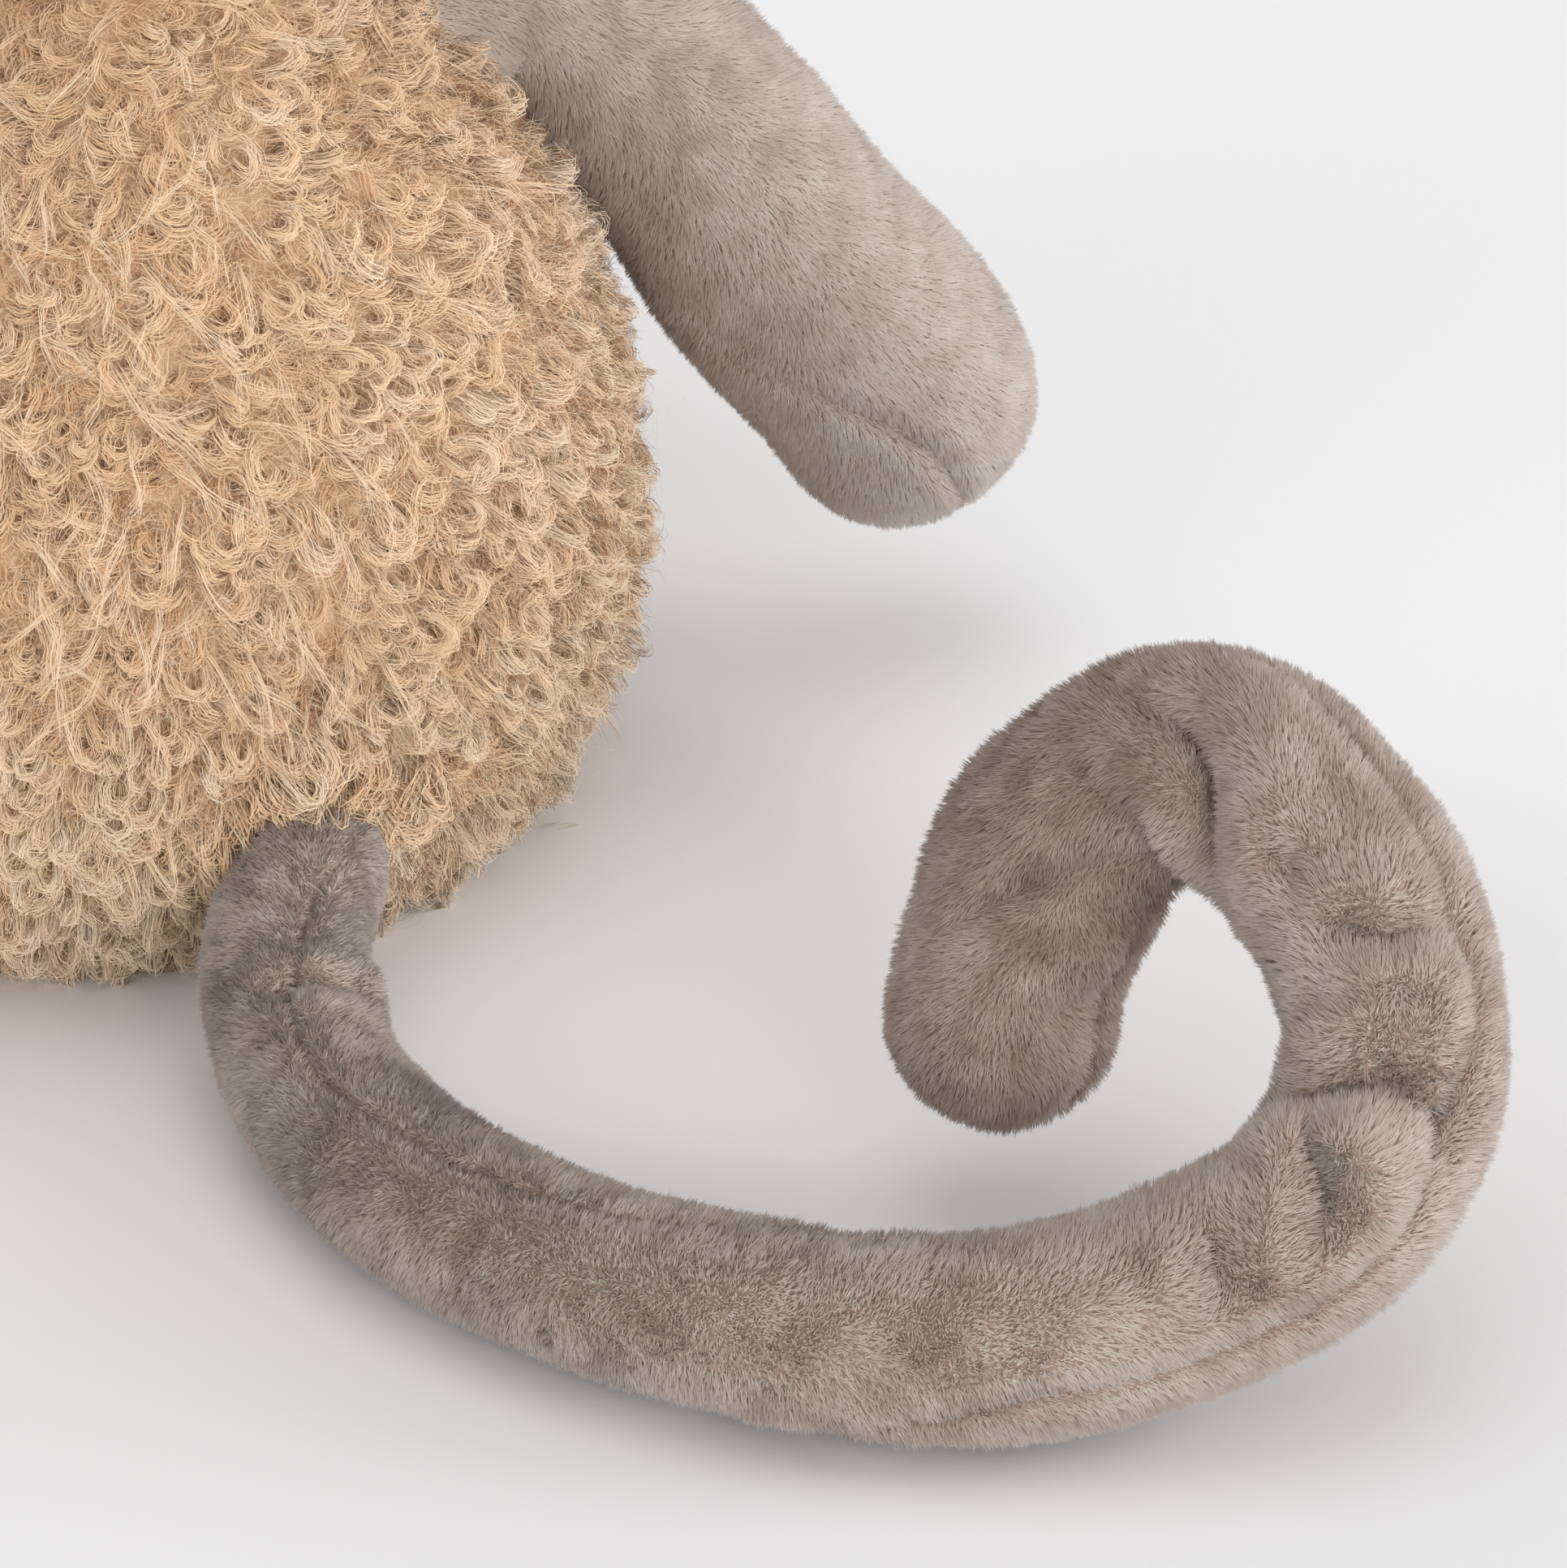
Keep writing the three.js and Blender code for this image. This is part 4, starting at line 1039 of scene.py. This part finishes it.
# Head
def make_head():
    grid = ball(HEAD_CENTRE, HEAD_HALF, *HEAD_GRID, low=NECK_ANGLE)
    lumps = uneven(grid, (0.9, 26), (0.5, 11), 51)
    x, y, z = grid[..., 0], grid[..., 1], grid[..., 2]
    front = y < HEAD_CENTRE[1]
    rim = np.hypot(x / FACE_HALF_WIDTH, (z - FACE_CENTRE_Z) / FACE_HALF_HEIGHT)
    in_face = (rim < 1) * front
    back_seam = np.exp(-(x / 2.4) ** 2) * (1 - front)
    face_seam = np.exp(-((rim - 1) * 33 / 2.5) ** 2) * front
    groove = -2.0 * back_seam - 1.6 * face_seam
    free = smooth((z - 129) / 8)
    held = np.maximum(np.maximum((rim < 1.06) * front, np.abs(x) < 2), free < 0.4)
    grid = swollen(push(grid, -1.0 * free * (1 - held)), held, *HEAD_SWELLING)
    grid = push(grid, np.where(in_face, -1.5, lumps + groove) * free)
    skin("head_skin", grid, "head", ["head_right_panel", "head_left_panel", "head_stuffing"],
         TAN_CLOTH)
    # The curls make room for the root of the left ear, and grow up to that of the right one
    ear_gap = np.linalg.norm((grid - EAR_CENTRE)[..., 1:], axis=2)
    at_ear = (x > 49) * (ear_gap < 15) * (np.abs(y - HEAD_CENTRE[1]) < 5)
    furred = (rim > 1.02) + (1 - front) > 0
    furred = (furred * (z > 128.6) * (1 - at_ear))[:-1]
    curls("head_curls", "head", grid, TAN, 0.17 * SHARE, 11, 401, furred, 1.3, 6, 0.048)
    fuzz("head_fuzz", "head", grid, TAN, 0.6 * SHARE, 402, 5, 0.05, furred)

    turn = turns(100)
    ring = np.linspace(0.03, 0.985, 44)[:, None]
    x = ring * FACE_HALF_WIDTH * np.cos(turn)
    z = FACE_CENTRE_Z + ring * FACE_HALF_HEIGHT * np.sin(turn)
    inside = 1 - (x / HEAD_HALF[0]) ** 2 - ((z - HEAD_CENTRE[2]) / HEAD_HALF[2]) ** 2
    sunk = 0.2 + 1.6 * smooth((ring - 0.9) / 0.09)
    y = HEAD_CENTRE[1] - HEAD_HALF[1] * np.sqrt(np.maximum(inside, 0)) + sunk
    face = np.stack([x, y, z], axis=2)[:, ::-1]
    sockets = np.min([np.linalg.norm(face - c, axis=2) for c in EYE_CENTRES], axis=0)
    face = face + np.array([0, 1, 0]) * (1.4 * np.exp(-(sockets / 6) ** 2))[..., None]
    skin("face_skin", face, "head", ["face_panel"], TAUPE_CLOTH)
    clear = ((sockets > 5.0) * (face[..., 2] > 129.5))[:-1]
    short_pile("face_pile", "head", face, TAUPE, 5 * SHARE, 1.9, 0.18, 411, lean=0.6,
               tone=lambda at: 0.2, keep=clear)


def make_muzzle():
    grid = ball(MUZZLE_CENTRE, MUZZLE_HALF, *SMALL_GRID)
    x, y, z = (grid - MUZZLE_CENTRE)[..., 0], grid[..., 1], (grid - MUZZLE_CENTRE)[..., 2]
    front = smooth((MUZZLE_CENTRE[1] - y) / 4)
    smile = z + 4.5 - 0.012 * x * x
    mouth = np.abs(smile) + 100 * (np.abs(x) > 15)
    stem = np.abs(x) + 100 * ((z < -4.5) | (z > 5))
    drawn = np.exp(-(np.minimum(mouth, stem) / 1.0) ** 2) * front
    nose = smooth((1.15 - np.hypot(x / 6.5, (z - 9) / 3.6)) / 0.2) * front
    grid = push(grid, -1.6 * drawn + 0.9 * nose)
    skin("muzzle_skin", grid, "head", ["muzzle_panel", "muzzle_stuffing"], TAUPE_CLOTH)
    outside = np.sum(((grid - HEAD_CENTRE) / (HEAD_HALF + 0.8)) ** 2, axis=2) > 1
    short_pile("muzzle_pile", "head", grid, TAUPE, 5 * SHARE, 1.8, 0.18, 421, keep=outside[:-1],
               tone=lambda at: 0.25 - 0.8 * at_strands(nose, at) - 0.3 * at_strands(drawn, at),
               trim_and_shade=lambda at: at_strands(np.maximum(drawn, 0.9 * nose), at))


# Ears
def make_ear(mirror):
    name = "left" if mirror else "right"
    grid = ball(EAR_CENTRE, EAR_HALF, *SMALL_GRID)
    x, y, z = np.moveaxis(grid - EAR_CENTRE, 2, 0)
    rim = np.hypot(x / EAR_HALF[0], z / EAR_HALF[2])
    front = y < 0
    grid[..., 1] += front * 4.2 * smooth((0.9 - rim) / 0.5)
    grid = push(grid, -1.0 * np.exp(-(np.abs(y) * 1.6 / 1.2) ** 2))
    x, y, z = np.moveaxis(grid - HEAD_CENTRE, 2, 0)
    round_head = HEAD_HALF[0] * np.sqrt(np.maximum(0, 1 - (y / HEAD_HALF[1]) ** 2 - (z / HEAD_HALF[2]) ** 2))
    grid[..., 0] = np.minimum(grid[..., 0], -round_head - 0.8 - 0.38 * np.abs(y))
    shown = grid[..., 0] < -56
    if mirror:
        grid = grid * MIRROR
    skin(f"ear_{name}_skin", grid, f"ear_{name}", [f"ear_{name}_front", f"ear_{name}_back"],
         TAUPE_CLOTH)
    hollow = front * (rim < 0.8)
    short_pile(f"ear_{name}_pile", f"ear_{name}", grid, TAUPE, 5 * SHARE, 1.8, 0.18, 431 + mirror,
               tone=lambda at: 0.2 * at_strands(hollow, at), keep=shown[:-1])


def finish_hard_parts():
    for side in ("right", "left"):
        for node, material in ((f"eye_{side}", EYE_PLASTIC), (f"eye_{side}_washer", WASHER_PLASTIC)):
            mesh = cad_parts[node].data
            mesh.materials.clear()
            mesh.materials.append(material)


make_tail(*FINE_PILE)
make_arm(False, *FINE_PILE)
make_arm(True, *PLAIN_PILE)
make_leg(False, *PLAIN_PILE)
make_leg(True, *PLAIN_PILE)
make_body()
make_head()
make_muzzle()
make_ear(False)
make_ear(True)
finish_hard_parts()
